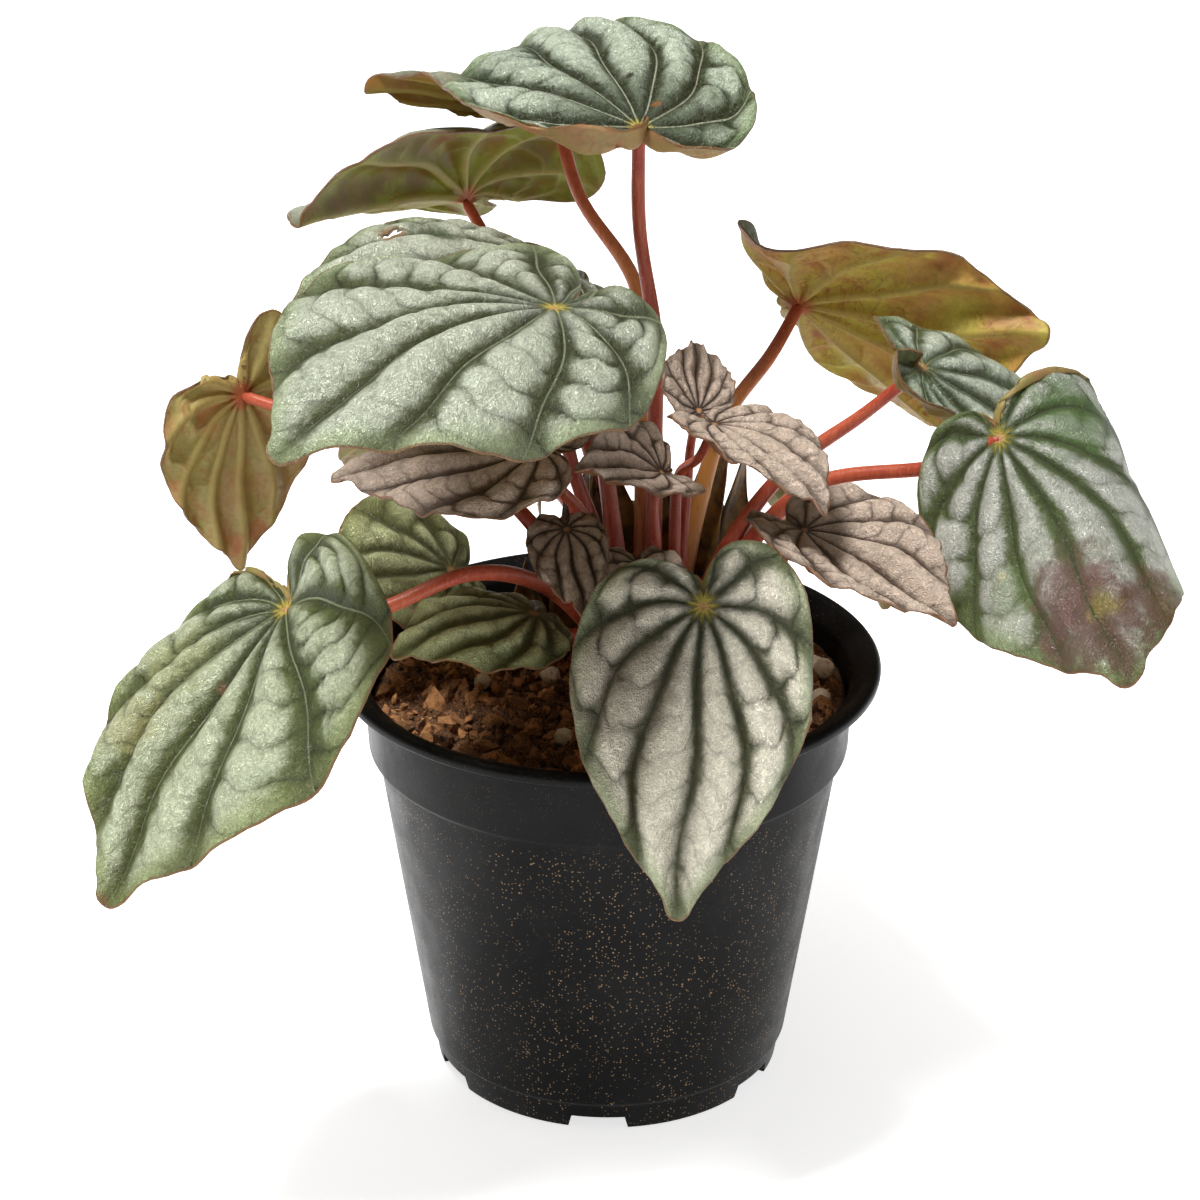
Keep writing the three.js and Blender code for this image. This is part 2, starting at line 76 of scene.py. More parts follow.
# Pot, from the floor up, with angles in degrees
RIM_RADIUS = 60.0
POT_HEIGHT = 98.0
POT_SIDES = 180
FOOT_HEIGHT = 3.2
FOOT_RADIUS = 38
FOOT_COUNT = 6
FOOT_NOTCH_ANGLE = 20.0
FOOT_NOTCH_START = -93.0
DRAIN_COUNT = 6
DRAIN_RADIUS = 4.0
DRAIN_CIRCLE = 24.0
DRAIN_SIDES = 24
SHARP_EDGE = 40

# Soil
SOIL_BOTTOM = 4.9
SOIL_RADIUS = 52.1
SOIL_EDGE_Z = 87.0
SOIL_MIDDLE_Z = 91.0
SOIL_SIDES = 180
SOIL_RINGS = 52
SOIL_WAVES = 26
BANK_HEIGHT = 3.0
CHIP_COUNT = 3600
CHIP_REACH = 50.5
PERLITE = [(-27.8, -2.5), (-12.8, 0.5), (-9.6, -28.5), (46.1, 8.5), (48.0, 4.0), (46.5, -8.5),
           (-30.0, 24.0), (24.0, 38.0), (-6.0, 43.0)]
PERLITE_RADIUS = 2.3

# Crown and stalks
CROWN = np.array([9.0, 10.0, 84.0])
CROWN_RADIUS = 12.0
CROWN_TOP_Z = 97.0
CROWN_MIDDLE_Z = 88.0
CROWN_RISE = 8.0
STALK_SIDES = 16
STALK_STEPS = 48
BASE_THICKNESS = 0.7

# Withered leaf bases round the crown: where each one stands, its height and width, and the way it leans
BASES = [(-22, 14, 19, 12, 115), (-18, 20, 25, 12, 110), (-12, 24, 35, 12, 105), (-4, 27, 44, 12, 100),
         (5, 29, 47, 13, 95), (13, 28, 50, 13, 80), (21, 25, 53, 14, 75), (28, 20, 45, 13, 65),
         (34, 14, 31, 12, 60), (-15, 8, 20, 10, 120), (-8, 14, 40, 11, 110), (0, 19, 47, 12, 100),
         (10, 21, 54, 12, 90), (19, 17, 56, 12, 75), (27, 9, 36, 11, 65)]

# Blades
THICKNESS = 0.8
RELIEF_SLOPE = 0.36
RELIEF_MOST = 5.0

# Half of a heart-shaped outline as four Bezier curves from the tip round to the notch,
# with x as a share of the half width and y as a share of the length
OUTLINE = [
    [(0, 1), (0.07, 1), (0.09, 0.975), (0.12, 0.94)],
    [(0.12, 0.94), (0.42, 0.77), (1.03, 0.55), (1, 0.2)],
    [(1, 0.2), (1, -0.02), (0.75, -0.215), (0.4, -0.21)],
    [(0.4, -0.21), (0.18, -0.21), (0.04, -0.16), (0, -0.05)],
]
LOBE_DEPTH = 0.22

# Where the main veins meet the margin, as a share of its length from the tip to the notch,
# and the direction in which each one leaves the stalk
VEIN_SHARE = np.array([0, 0.14, 0.36, 0.59, 0.79, 0.93, 1])
VEIN_ANGLE = np.radians([0, 31, 62, 99, 137, 165, 180])
PANELS = 6

# Columns of a blade's mesh between two veins, as a share of the way across, and its rows
COLUMNS = [0, 0.025, 0.07, 0.13, 0.21, 0.3, 0.4, 0.5, 0.6, 0.7, 0.79, 0.87, 0.93, 0.975]
LARGE_LENGTH = 40
LARGE_ROWS = 52
SMALL_ROWS = 34

# How strongly side veins show in each panel between two main veins, and their spacing
SIDE_VEIN_STRENGTH = [0.35, 0.65, 1.0, 1.0, 0.8, 0.35]
SIDE_VEIN_SLANT = 0.24
SIDE_VEIN_STEP = 8.0
YOUNG_VEIN_STEP = 5.0

# Each blade. "at" is where its stalk meets it and "aim" is the direction of its tip seen from above
# (0 is +X, 90 is +Y), how far the tip points up and how far the right side is raised. "halves",
# "lobes" and "cups" hold the left and the right side. "droop" bends the tip down, "back" the lobes
# and "cups" the sides, all in degrees. The stalk passes through "via".
FIELDS = ("name", "look", "at", "aim", "length", "halves", "lobes",
          "droop", "back", "cups", "fold", "twist", "via", "stalk")
BLADES = [
    ("leaf_crest", "crest", (6, 15, 213), (104, 21, -6), 66, (39, 28), (0.6, 0.7),
     36, 14, (26, 22), 8, 19, (10, 20, 163), 1.9),
    ("leaf_rear_left", "olive", (-34, 81, 177), (231, 13, -46), 61, (35, 28), (2.4, 1.4),
     13, 18, (80, 12), 33, 0, (-12, 50, 148), 1.8),
    ("leaf_rear_top", "russet", (-12, 56, 205), (171, 11, -38), 43, (26, 11), (1.1, 0.8),
     16, 13, (60, -20), -4, -16, (6, 40, 169), 1.9),
    ("leaf_front_left", "silver", (-11, -51, 196), (225, 6, 0), 73, (33, 42), (1.4, 1.6),
     33, -7, (70, 2), 1, 6, (-3, 3, 153), 1.9),
    ("leaf_torn", "silver", (-11, 8, 184), (210, 23, 5), 63, (26, 26), (1, 1),
     45, 20, (20, 14), 0, 10, (-8, 4, 141), 1.7),
    ("leaf_hanging_left", "russet", (-82, 28, 148), (133, -88, -6), 43, (20, 20), (0.6, 2),
     0, 0, (7, 11), 3, 5, (-39, 18, 141), 1.7),
    ("leaf_low_left", "mossy", (-66, -46, 129), (231, -34, -17), 71, (43, 29), (1.1, 0.4),
     11, 28, (33, 41), 20, 29, (-29, -34, 132), 1.9),
    ("leaf_front", "warm", (19, -48, 131), (263, -50, 7), 64, (24, 26), (1.2, 0.7),
     20, 15, (16, 15), 0, 0, (20, -20, 116), 1.8),
    ("leaf_right", "blotched", (81, -20, 157), (294, -31, -53), 64, (45, 31), (0.6, 0.9),
     0, -11, (134, 14), -10, 16, (45, 6, 136), 1.9),
    ("leaf_rear_right", "olive", (43, 48, 163), (341, -1, 60), 57, (40, 25), (0.7, 1.4),
     0, -55, (-20, 48), 6, 38, (26, 26, 144), 1.9),
    ("leaf_right_small", "curled", (67, 6, 163), (14, -20, -38), 47, (20, 12), (1.0, 1.0),
     36, -8, (38, 0), -8, -1, (39, 10, 138), 1.8),
    ("young_leaf_left", "young", (-15, -15, 152), (173, -3, 14), 46, (19, 18), (0.8, 1.1),
     20, 16, (25, 15), 0, 2, (-6, -6, 134), 1.5),
    ("young_leaf_center", "young", (11, -5, 143), (229, 18, 32), 29, (12, 12), (1, 0.9),
     0, 9, (0, 0), 22, 5, (10, -3, 126), 1.3),
    ("young_leaf_right", "young", (22, -10, 156), (308, -1, 8), 38, (15, 12), (0.9, 0.9),
     24, 10, (7, 6), 10, -6, (15, 5, 138), 1.3),
    ("young_leaf_pleated", "young", (19, 3, 154), (92, 34, -12), 18, (10, 8), (0.9, 0.9),
     0, 0, (0, 0), 26, 2, (17, 9, 134), 1.2),
    ("young_leaf_low_right", "young", (41, -20, 136), (310, -7, -2), 45, (18, 15), (1.1, 1),
     2, 8, (5, 6), 17, -12, (27, -9, 125), 1.4),
    ("young_leaf_front", "young", (-9, -20, 136), (279, -18, -9), 25, (8, 9), (0.9, 1.1),
     10, 10, (2, 2), 4, 0, (-1, -8, 120), 1.1),
    ("young_leaf_tiny", "young", (6, -22, 129), (276, -15, 4), 25, (10, 9), (1, 1),
     10, 10, (2, 2), 7, 2, (7, -8, 116), 1.1),
    ("leaf_low_behind", "deep", (-35, 11, 113), (224, 15, 36), 34, (15, 23), (1, 1.4),
     22, 5, (20, 19), 2, 4, (-16, 10, 98), 1.5),
    ("leaf_low_front", "deep", (-16, -25, 119), (220, 14, 13), 36, (14, 15), (0.9, 1),
     30, 20, (26, 20), -5, 12, (-4, -12, 108), 1.5),
    ("leaf_back_right", "mossy", (53, 73, 104), (50, -45, 0), 44, (20, 20), (0.9, 0.9),
     22, 16, (16, 16), 0, 6, (29, 41, 112), 1.6),
    ("leaf_back_left", "mossy", (-36, 66, 133), (122, -34, 0), 54, (24, 23), (1, 1.1),
     22, 16, (18, 16), 0, -6, (-12, 42, 120), 1.7),
    ("leaf_back_middle", "deep", (7, 69, 104), (92, -50, 0), 45, (20, 21), (0.7, 0.7),
     16, 14, (16, 18), 0, 4, (9, 42, 117), 1.5),
]

# What only some blades have. "rims" turns up the margin of the lobes and "sway" bows the midrib to
# the right, both in millimetres. "lean" sets the lobes over to the right, as a share of their length.
# "under" is the look of the underside and "stalk_tint" how orange and how dull the stalk is. A mark
# has its side, share of the margin and way out, then its radius, colour and strength. A tear has its
# side, its middle and half width as shares of the margin, and the way out where it starts and ends.
EXTRAS = {
    "leaf_crest": dict(rims=(5, 3), under="peach",
        scars=[((1, 0.048, 0.27), 1.2, (0.01, 0.008, 0.004), 0.9),
               ((1, 0.222, 0.154), 1.5, (0.3, 0.12, 0.035), 0.9),
               ((1, 0.322, 0.172), 1.1, (0.012, 0.008, 0.004), 0.9)]),
    "leaf_rear_left": dict(under="shade"),
    "leaf_rear_top": dict(under="umber", stalk_tint=(0.8, 0.0)),
    "leaf_front_left": dict(lean=0.6, sway=3.3),
    "leaf_torn": dict(
        tears=[(1, 0.197, 0.022, 0.7, 0.8)],
        # two dark green blotches: partly the blade's own colour, partly painted shade between it and the
        # front left blade
        blotches=[((1, 0.135, 0.53), 7, (0.05, 0.08, 0.035), 0.85),
                  ((1, 0.104, 0.458), 6, (0.05, 0.08, 0.035), 0.8)],
        scars=[((1, 0.197, 0.75), 4.2, (0.3, 0.15, 0.05), 0.8)]),
    "leaf_low_left": dict(lean=2.4, sway=1.4,
        blotches=[((1, 0.272, 0.458), 13, (0.42, 0.44, 0.2), 0.5),
                  ((1, 0.21, 0.682), 11, (0.42, 0.4, 0.17), 0.5)],
        scars=[((1, 0.01, 0.297), 1.7, (0.16, 0.08, 0.035), 0.8),
               ((1, 0.01, 1.0), 2.6, (0.2, 0.1, 0.04), 0.8)]),
    "leaf_front": dict(
        blotches=[((1, 0.3, 0.5), 17, (0.34, 0.28, 0.22), 0.5)]),
    "leaf_right": dict(lean=-0.2, sway=-1.9,
        blotches=[((1, 0.197, 0.682), 9, (0.13, 0.2, 0.06), 0.5),
                  ((-1, 0.541, 0.333), 14, (0.08, 0.19, 0.035), 0.55),
                  ((1, 0.016, 0.771), 17, (0.115, 0.05, 0.045), 0.8),
                  ((1, 0.023, 0.637), 13, (0.17, 0.085, 0.08), 0.65),
                  ((-1, 0.15, 0.93), 13, (0.13, 0.05, 0.035), 0.7),
                  ((-1, 0.023, 0.718), 4.5, (0.3, 0.27, 0.04), 0.5)],
        scars=[((1, 0.216, 0.619), 1.6, (0.48, 0.45, 0.28), 0.7)]),
    "leaf_rear_right": dict(rims=(3, 2), lean=0.3, sway=-2.3, under="amber", stalk_tint=(0.9, 0.0)),
    "leaf_right_small": dict(rims=(0, 4), lean=-0.4, sway=4.5),
}

# Colours of the upper side by look: silver film, green below it, dark green beside the veins, which is
# partly the leaf's own colour and partly painted shade in the sunken valleys, vein line and margin. Then
# how much silver there is, how wide the dark beside the veins is, the relief at which silver is full and
# the painted shade of low places ends, how far out the bare middle reaches, how yellow the star is and
# the roughness.
LOOKS = {
    "silver": dict(silver=(0.55, 0.59, 0.465), green=(0.098, 0.125, 0.048), dark=(0.009, 0.017, 0.006),
                   line=(0.24, 0.28, 0.17), edge=(0.36, 0.44, 0.22), amount=0.80, vein=0.72, rise=2.3),
    "crest": dict(silver=(0.58, 0.65, 0.51), green=(0.038, 0.070, 0.024), dark=(0.006, 0.013, 0.005),
                  line=(0.40, 0.43, 0.30), edge=(0.34, 0.45, 0.22), amount=0.74, rough=0.18, vein=0.85,
                  bare=30.0, rise=2.4),
    "curled": dict(silver=(0.58, 0.64, 0.52), green=(0.10, 0.16, 0.065), dark=(0.030, 0.055, 0.020),
                   line=(0.20, 0.24, 0.14), edge=(0.34, 0.42, 0.22), amount=0.70, vein=0.5, star=0.2),
    "mossy": dict(silver=(0.53, 0.58, 0.41), green=(0.105, 0.145, 0.038), dark=(0.012, 0.024, 0.007),
                  line=(0.24, 0.28, 0.16), edge=(0.30, 0.36, 0.13), amount=0.68, vein=0.70, rise=2.6),
    "warm": dict(silver=(0.80, 0.76, 0.62), green=(0.15, 0.155, 0.075), dark=(0.014, 0.020, 0.008),
                 line=(0.030, 0.040, 0.018), edge=(0.32, 0.40, 0.19), amount=0.92, vein=0.50, rise=2.3),
    "blotched": dict(silver=(0.50, 0.51, 0.45), green=(0.10, 0.150, 0.045), dark=(0.036, 0.058, 0.020),
                     line=(0.026, 0.038, 0.013), edge=(0.22, 0.31, 0.10), amount=0.76, vein=0.34,
                     star=0.8),
    "deep": dict(silver=(0.56, 0.61, 0.33), green=(0.16, 0.19, 0.058), dark=(0.016, 0.024, 0.008),
                 line=(0.09, 0.11, 0.045), edge=(0.34, 0.37, 0.15), amount=0.84, vein=0.5, star=0.2),
    "olive": dict(silver=(0.52, 0.54, 0.42), green=(0.12, 0.15, 0.06), dark=(0.020, 0.030, 0.012),
                  line=(0.18, 0.20, 0.13), amount=0.58, vein=0.8),
    "russet": dict(silver=(0.50, 0.50, 0.38), green=(0.13, 0.14, 0.06), dark=(0.022, 0.028, 0.013),
                   line=(0.20, 0.18, 0.12), amount=0.52, vein=0.8),
    "young": dict(silver=(0.58, 0.46, 0.365), green=(0.22, 0.15, 0.105), dark=(0.060, 0.032, 0.021),
                  line=(0.028, 0.013, 0.008), amount=0.78, rough=0.30, vein=0.5),
}
MARGIN_COLOR = (0.24, 0.095, 0.035)
STAR_COLOR = (0.56, 0.45, 0.06)
DOT_COLOR = (0.58, 0.30, 0.13)
UPPER_GLOW = (0.55, 0.60, 0.22)
UPPER_GLOW_SHARE = 0.10

# Colours of the underside: ground, green and red patches, how much red, and the light that comes through
UNDERSIDES = {
    "amber": dict(base=(0.70, 0.40, 0.11), green=(0.66, 0.56, 0.10), red=(0.46, 0.12, 0.06), amount=0.62,
                  glow=(1.0, 0.75, 0.15)),
    "peach": dict(base=(0.52, 0.30, 0.15), green=(0.46, 0.36, 0.17), red=(0.50, 0.21, 0.12), amount=0.7,
                  glow=(0.9, 0.55, 0.25)),
    "umber": dict(base=(0.30, 0.15, 0.030), green=(0.33, 0.24, 0.035), red=(0.30, 0.085, 0.030), amount=0.6,
                  glow=(0.9, 0.55, 0.14)),
    "shade": dict(base=(0.15, 0.11, 0.010), green=(0.28, 0.31, 0.040), red=(0.25, 0.075, 0.025), amount=0.55,
                  glow=(0.55, 0.45, 0.08)),
    "russet": dict(base=(0.58, 0.40, 0.17), green=(0.52, 0.46, 0.16), red=(0.52, 0.18, 0.08), amount=0.64,
                   glow=(0.9, 0.55, 0.16)),
    "young": dict(base=(0.15, 0.07, 0.045), green=(0.18, 0.12, 0.05), red=(0.22, 0.055, 0.04), amount=0.7,
                  glow=(0.6, 0.25, 0.1)),
    "plain": dict(base=(0.33, 0.23, 0.10), green=(0.30, 0.28, 0.09), red=(0.38, 0.18, 0.10), amount=0.55,
                  glow=(0.8, 0.55, 0.15)),
}
UNDER_VEIN_COLOR = (0.40, 0.32, 0.10)
UNDER_GLOW_SHARE = 0.34


def smooth(x, low, high):
    """0 below low, 1 above high and an S curve between."""
    s = np.clip((x - low) / (high - low), 0, 1)
    return s * s * (3 - 2 * s)


def half_outline(length, half, lobe):
    """Half an outline in millimetres and the share of its length at each point."""
    curves = []
    for number, corners in enumerate(OUTLINE):
        corners = np.array(corners, float)
        corners[:, 1] = np.where(corners[:, 1] < 0, corners[:, 1] * lobe, corners[:, 1])
        t = np.linspace(0, 1, 41)[min(number, 1):, None]
        s = 1 - t
        curves.append(s**3 * corners[0] + 3 * s * s * t * corners[1]
                      + 3 * s * t * t * corners[2] + t**3 * corners[3])
    points = np.concatenate(curves) * (half, length)
    steps = np.linalg.norm(np.diff(points, axis=0), axis=1)
    share = np.concatenate([[0], np.cumsum(steps)])
    return points, share / share[-1]


def arc(s, angle, whole):
    """An arc of the given length and total angle: how far it runs along, falls and has turned."""
    curve = angle / whole
    curve = np.where(np.abs(curve) < 1e-6, 1e-6, curve)
    return np.sin(curve * s) / curve, (1 - np.cos(curve * s)) / curve, curve * s


class Blade:
    """The surface of one leaf blade, in millimetres from the pot's axis."""

    def __init__(self, spec, seed):
        self.spec = spec
        self.young = spec["look"] == "young"
        self.at = np.array(spec["at"], float)
        heading, pitch, roll = (math.radians(angle) for angle in spec["aim"])
        self.ahead = np.array([math.cos(heading) * math.cos(pitch), math.sin(heading) * math.cos(pitch),
                               math.sin(pitch)])
        level = np.array([math.sin(heading), -math.cos(heading), 0])
        above = np.cross(level, self.ahead)
        self.across = level * math.cos(roll) + above * math.sin(roll)
        self.normal = above * math.cos(roll) - level * math.sin(roll)
        self.outlines = [half_outline(spec["length"], half, lobe)
                         for half, lobe in zip(spec["halves"], spec["lobes"])]
        rng = np.random.default_rng(seed)
        self.phase = rng.uniform(0, TURN, 6)
        self.offsets = rng.uniform(0, 1, (2, PANELS))
        self.jitter = rng.uniform(-1, 1, (2, PANELS))

    def outline(self, side, a):
        """The margin's flat point at share a of each side."""
        edge = np.empty(np.shape(a) + (2,))
        for k in (0, 1):
            points, share = self.outlines[k]
            here = (side > 0) == bool(k)
            edge[here, 0] = np.interp(a[here], share, points[:, 0])
            edge[here, 1] = np.interp(a[here], share, points[:, 1])
        return edge

    def reach(self, side, a):
        """How far the margin is from the stalk at share a of each side."""
        edge = self.outline(side, a)
        return np.hypot(edge[..., 0], edge[..., 1])

    def flat(self, side, a, t):
        """Flat coordinates, to the right and towards the tip."""
        edge = self.outline(side, a)
        angle = np.interp(a, VEIN_SHARE, VEIN_ANGLE)
        pull = (0.5 + 0.2 * a) * self.reach(side, a)
        x = side * (2 * (1 - t) * t * np.sin(angle) * pull + t * t * edge[..., 0])
        y = 2 * (1 - t) * t * np.cos(angle) * pull + t * t * edge[..., 1]

        # veins wander a little, and the margin is uneven
        s = side * a
        turn = 0.035 * np.sin(TURN * (1.3 * t + 1.5 * s) + self.phase[0]) * 4 * t * (1 - t)
        turn = turn * smooth(1 - a, 0, 0.1)
        x, y = x * np.cos(turn) - y * np.sin(turn), x * np.sin(turn) + y * np.cos(turn)
        if self.young:
            grow = 0.024 * (np.abs(np.sin(13 * math.pi * s + self.phase[1])) - 0.6)
        else:
            grow = 0.006 * np.sin(10 * math.pi * s + self.phase[1]) + 0.003 * np.sin(34 * math.pi * s)
        grow = 1 + grow * t**5 * smooth(1 - a, 0, 0.06) * smooth(a, 0, 0.05)
        return x * grow, y * grow

    def panel(self, side, a, t, k):
        """Place across panel k, its width there, the side veins' order, spacing and strength."""
        f = np.clip((a - VEIN_SHARE[k]) / (VEIN_SHARE[k + 1] - VEIN_SHARE[k]), 0, 1)
        width = t * self.reach(side, a) * (VEIN_ANGLE[k + 1] - VEIN_ANGLE[k])
        far = self.reach(side, (VEIN_SHARE[k] + VEIN_SHARE[k + 1]) / 2)
        step = YOUNG_VEIN_STEP if self.young else SIDE_VEIN_STEP
        which = (side > 0).astype(int)
        count = far / (step * (1 + 0.2 * self.jitter[which, k]))
        slant = SIDE_VEIN_SLANT * f + 0.06 * np.sin(math.pi * f) + 0.015 * np.sin(9 * f + 12 * t)
        order = count * (t - slant) + self.offsets[which, k]
        strength = np.take(SIDE_VEIN_STRENGTH, k) * smooth(t, 0.2, 0.45) * (0.45 + 0.55 * np.abs(2 * f - 1))
        return f, width, order, far / count, strength

    def height(self, side, a, t, k):
        """Relief between the sunken veins, in millimetres."""
        f, width, order, spacing, strength = self.panel(side, a, t, k)
        s = side * a
        puff = 1 - np.abs(2 * f - 1)**1.8
        full = RELIEF_MOST * (1 - np.exp(-RELIEF_SLOPE * width / RELIEF_MOST))
        relief = full * puff * (1 - 0.5 * t**5)
        away = np.abs(order - np.floor(order) - 0.5) * spacing
        relief = relief * (1 - 0.85 * strength * np.exp(-(away / (0.9 if self.young else 1.6))**1.3))
        lumps = np.sin(4.1 * s * 6 + 9 * t + self.phase[3]) * np.sin(13 * t - 5 * s + self.phase[4])
        relief = relief + 0.22 * lumps * smooth(t, 0.15, 0.5) * puff
        near = width * np.minimum(f, 1 - f)
        relief = relief + 0.14 * np.exp(-(near / 0.35)**2) * smooth(t, 0.02, 0.1)
        size, waves = (0.35, 7) if self.young else (0.6, 4)
        edge_wave = size * t**5 * (np.sin(TURN * waves * s + self.phase[5])
                                   + 0.5 * np.sin(TURN * (2 * waves + 1) * s + self.phase[1]))
        return relief + edge_wave * smooth(1 - a, 0, 0.08)

    def point(self, side, a, t, k=None):
        """The upper side's point at share a of the margin and the way out t."""
        side, a, t = np.broadcast_arrays(*(np.asarray(v, float) for v in (side, a, t)))
        if k is None:
            k = panel_number(a)
        spec = self.spec
        relief = self.height(side, a, t, k)
        x, y = self.flat(side, a, t)
        x = x + spec.get("sway", 0) * 4 * t * (1 - t) * smooth(1 - a, 0.3, 1)
        right = x >= 0
        forward = y >= 0
        side = np.where(right, 1.0, -1.0)
        sign = np.where(forward, 1.0, -1.0)
        bend = np.where(forward, math.radians(spec["droop"]), math.radians(spec["back"]))
        span = np.where(forward, spec["length"], LOBE_DEPTH * spec["length"])
        along, drop, turned = arc(np.abs(y), bend, span)
        cup = np.where(right, math.radians(spec["cups"][1]), math.radians(spec["cups"][0]))
        out, fall, _ = arc(np.abs(x), cup, np.where(right, spec["halves"][1], spec["halves"][0]))
        fold = math.radians(spec["fold"])
        u = side * (out * math.cos(fold) + fall * math.sin(fold))
        h = out * math.sin(fold) - fall * math.cos(fold) + relief
        rims = spec.get("rims", (0, 0))
        h = h + np.where(right, rims[1], rims[0]) * smooth(t, 0.55, 1)**2 * smooth(a, 0.35, 0.6)
        twist = math.radians(spec["twist"]) * y / spec["length"]
        u, h = u * np.cos(twist) - h * np.sin(twist), u * np.sin(twist) + h * np.cos(twist)
        behind = np.maximum(-y, 0)
        u = u + spec.get("lean", 0) * behind**2 / (behind + 10)
        turned = sign * turned
        return (self.at + (sign * along + h * np.sin(turned))[..., None] * self.ahead
                + (h * np.cos(turned) - drop)[..., None] * self.normal + u[..., None] * self.across)

    def base_normal(self):
        """The blade's normal where the stalk meets it."""
        ahead = self.point(1, 0, 0.05) - self.at
        spread = self.point(1, 0.58, 0.05) - self.point(-1, 0.58, 0.05)
        return unit(np.cross(spread, ahead))


def unit(vector):
    """The vector at length 1."""
    return vector / np.linalg.norm(vector)


def panel_number(a):
    """The panel that holds each share of the margin."""
    return np.clip(np.searchsorted(VEIN_SHARE, a, side="right") - 1, 0, PANELS - 1)


def to_scene(points):
    """Millimetres from the pot's axis to metres in the scene."""
    return (np.asarray(points) + (PLANT_SHIFT, 0, 0)) * MM


def make_object(name, points, faces, materials, material_index=None):
    """A smooth-shaded mesh object from points in millimetres and faces."""
    mesh = bpy.data.meshes.new(name)
    mesh.from_pydata(to_scene(points).tolist(), [], faces)
    mesh.polygons.foreach_set("use_smooth", [True] * len(mesh.polygons))
    for material in materials:
        mesh.materials.append(material)
    if material_index is not None:
        mesh.polygons.foreach_set("material_index", material_index)
    mesh.update()
    return add_object(name, mesh)


def add_object(name, data):
    """An object of the scene that holds a mesh, a lamp or a camera."""
    made = bpy.data.objects.new(name, data)
    bpy.context.scene.collection.objects.link(made)
    return made


def add_attribute(piece, name, values, domain="POINT"):
    """Four numbers for each vertex or face corner, for the material to read."""
    attribute = piece.data.color_attributes.new(name, "FLOAT_COLOR", domain)
    attribute.data.foreach_set("color", np.asarray(values, np.float32).ravel())


def vertex_normals(points, quads):
    """Area-weighted normals of a mesh of quads and triangles (a triangle repeats its last corner)."""
    normals = np.zeros_like(points)
    a, b, c, d = (points[quads[:, i]] for i in range(4))
    face = np.cross(c - a, d - b)
    triangle = quads[:, 2] == quads[:, 3]
    face[triangle] = np.cross(b[triangle] - a[triangle], c[triangle] - a[triangle])
    for i in range(4):
        use = ~triangle if i == 3 else slice(None)
        np.add.at(normals, quads[use, i], face[use])
    return normals / np.maximum(np.linalg.norm(normals, axis=1), 1e-12)[:, None]


def blade_columns():
    """Columns round a blade: the side and margin share of each, with the panel and side that follow."""
    right = [(1, VEIN_SHARE[k] + f * (VEIN_SHARE[k + 1] - VEIN_SHARE[k]), k)
             for k in range(PANELS) for f in COLUMNS]
    left = [(-1, a, k) for _, a, k in right[1:]]
    columns = right + [(1, 1.0, PANELS - 1)] + left[::-1]
    panels = [k for _, _, k in right]
    sides = np.array([column[0] for column in columns], float)
    margin = np.array([column[1] for column in columns], float)
    panel_side = np.repeat([1.0, -1.0], len(right))
    return sides, margin, np.array(panels + panels[::-1]), panel_side


def torn(blade, side, a, t):
    """Which places of a blade are torn away."""
    gone = np.zeros(np.shape(t), bool)
    for tear_side, middle, half, start, end in blade.spec.get("tears", []):
        ragged = 0.25 * half * np.sin(60 * t + 3) + 0.15 * half * np.sin(140 * t)
        way = 2 * (t - start) / (end - start) - 1
        inside = np.abs(a - middle) + ragged < half * np.sqrt(np.clip(1 - way * way, 0, 1))
        gone |= (side == tear_side) & inside & (t > start) & (t < end)
    return gone


def tear_walls(gone, quads, size):
    """Walls round a tear, between the two sides of the blade."""
    rows, columns = gone.shape
    walls = []
    for row, column in np.argwhere(gone):
        corners = quads[row, column]
        around = ((row, (column - 1) % columns, 3, 0), (row, (column + 1) % columns, 1, 2),
                  (row - 1, column, 0, 1), (row + 1, column, 2, 3))
        for near_row, near_column, start, end in around:
            if not (0 <= near_row < rows and gone[near_row, near_column]):
                walls.append([corners[start], corners[end], size + corners[end], size + corners[start]])
    return np.array(walls, int).reshape(-1, 4)


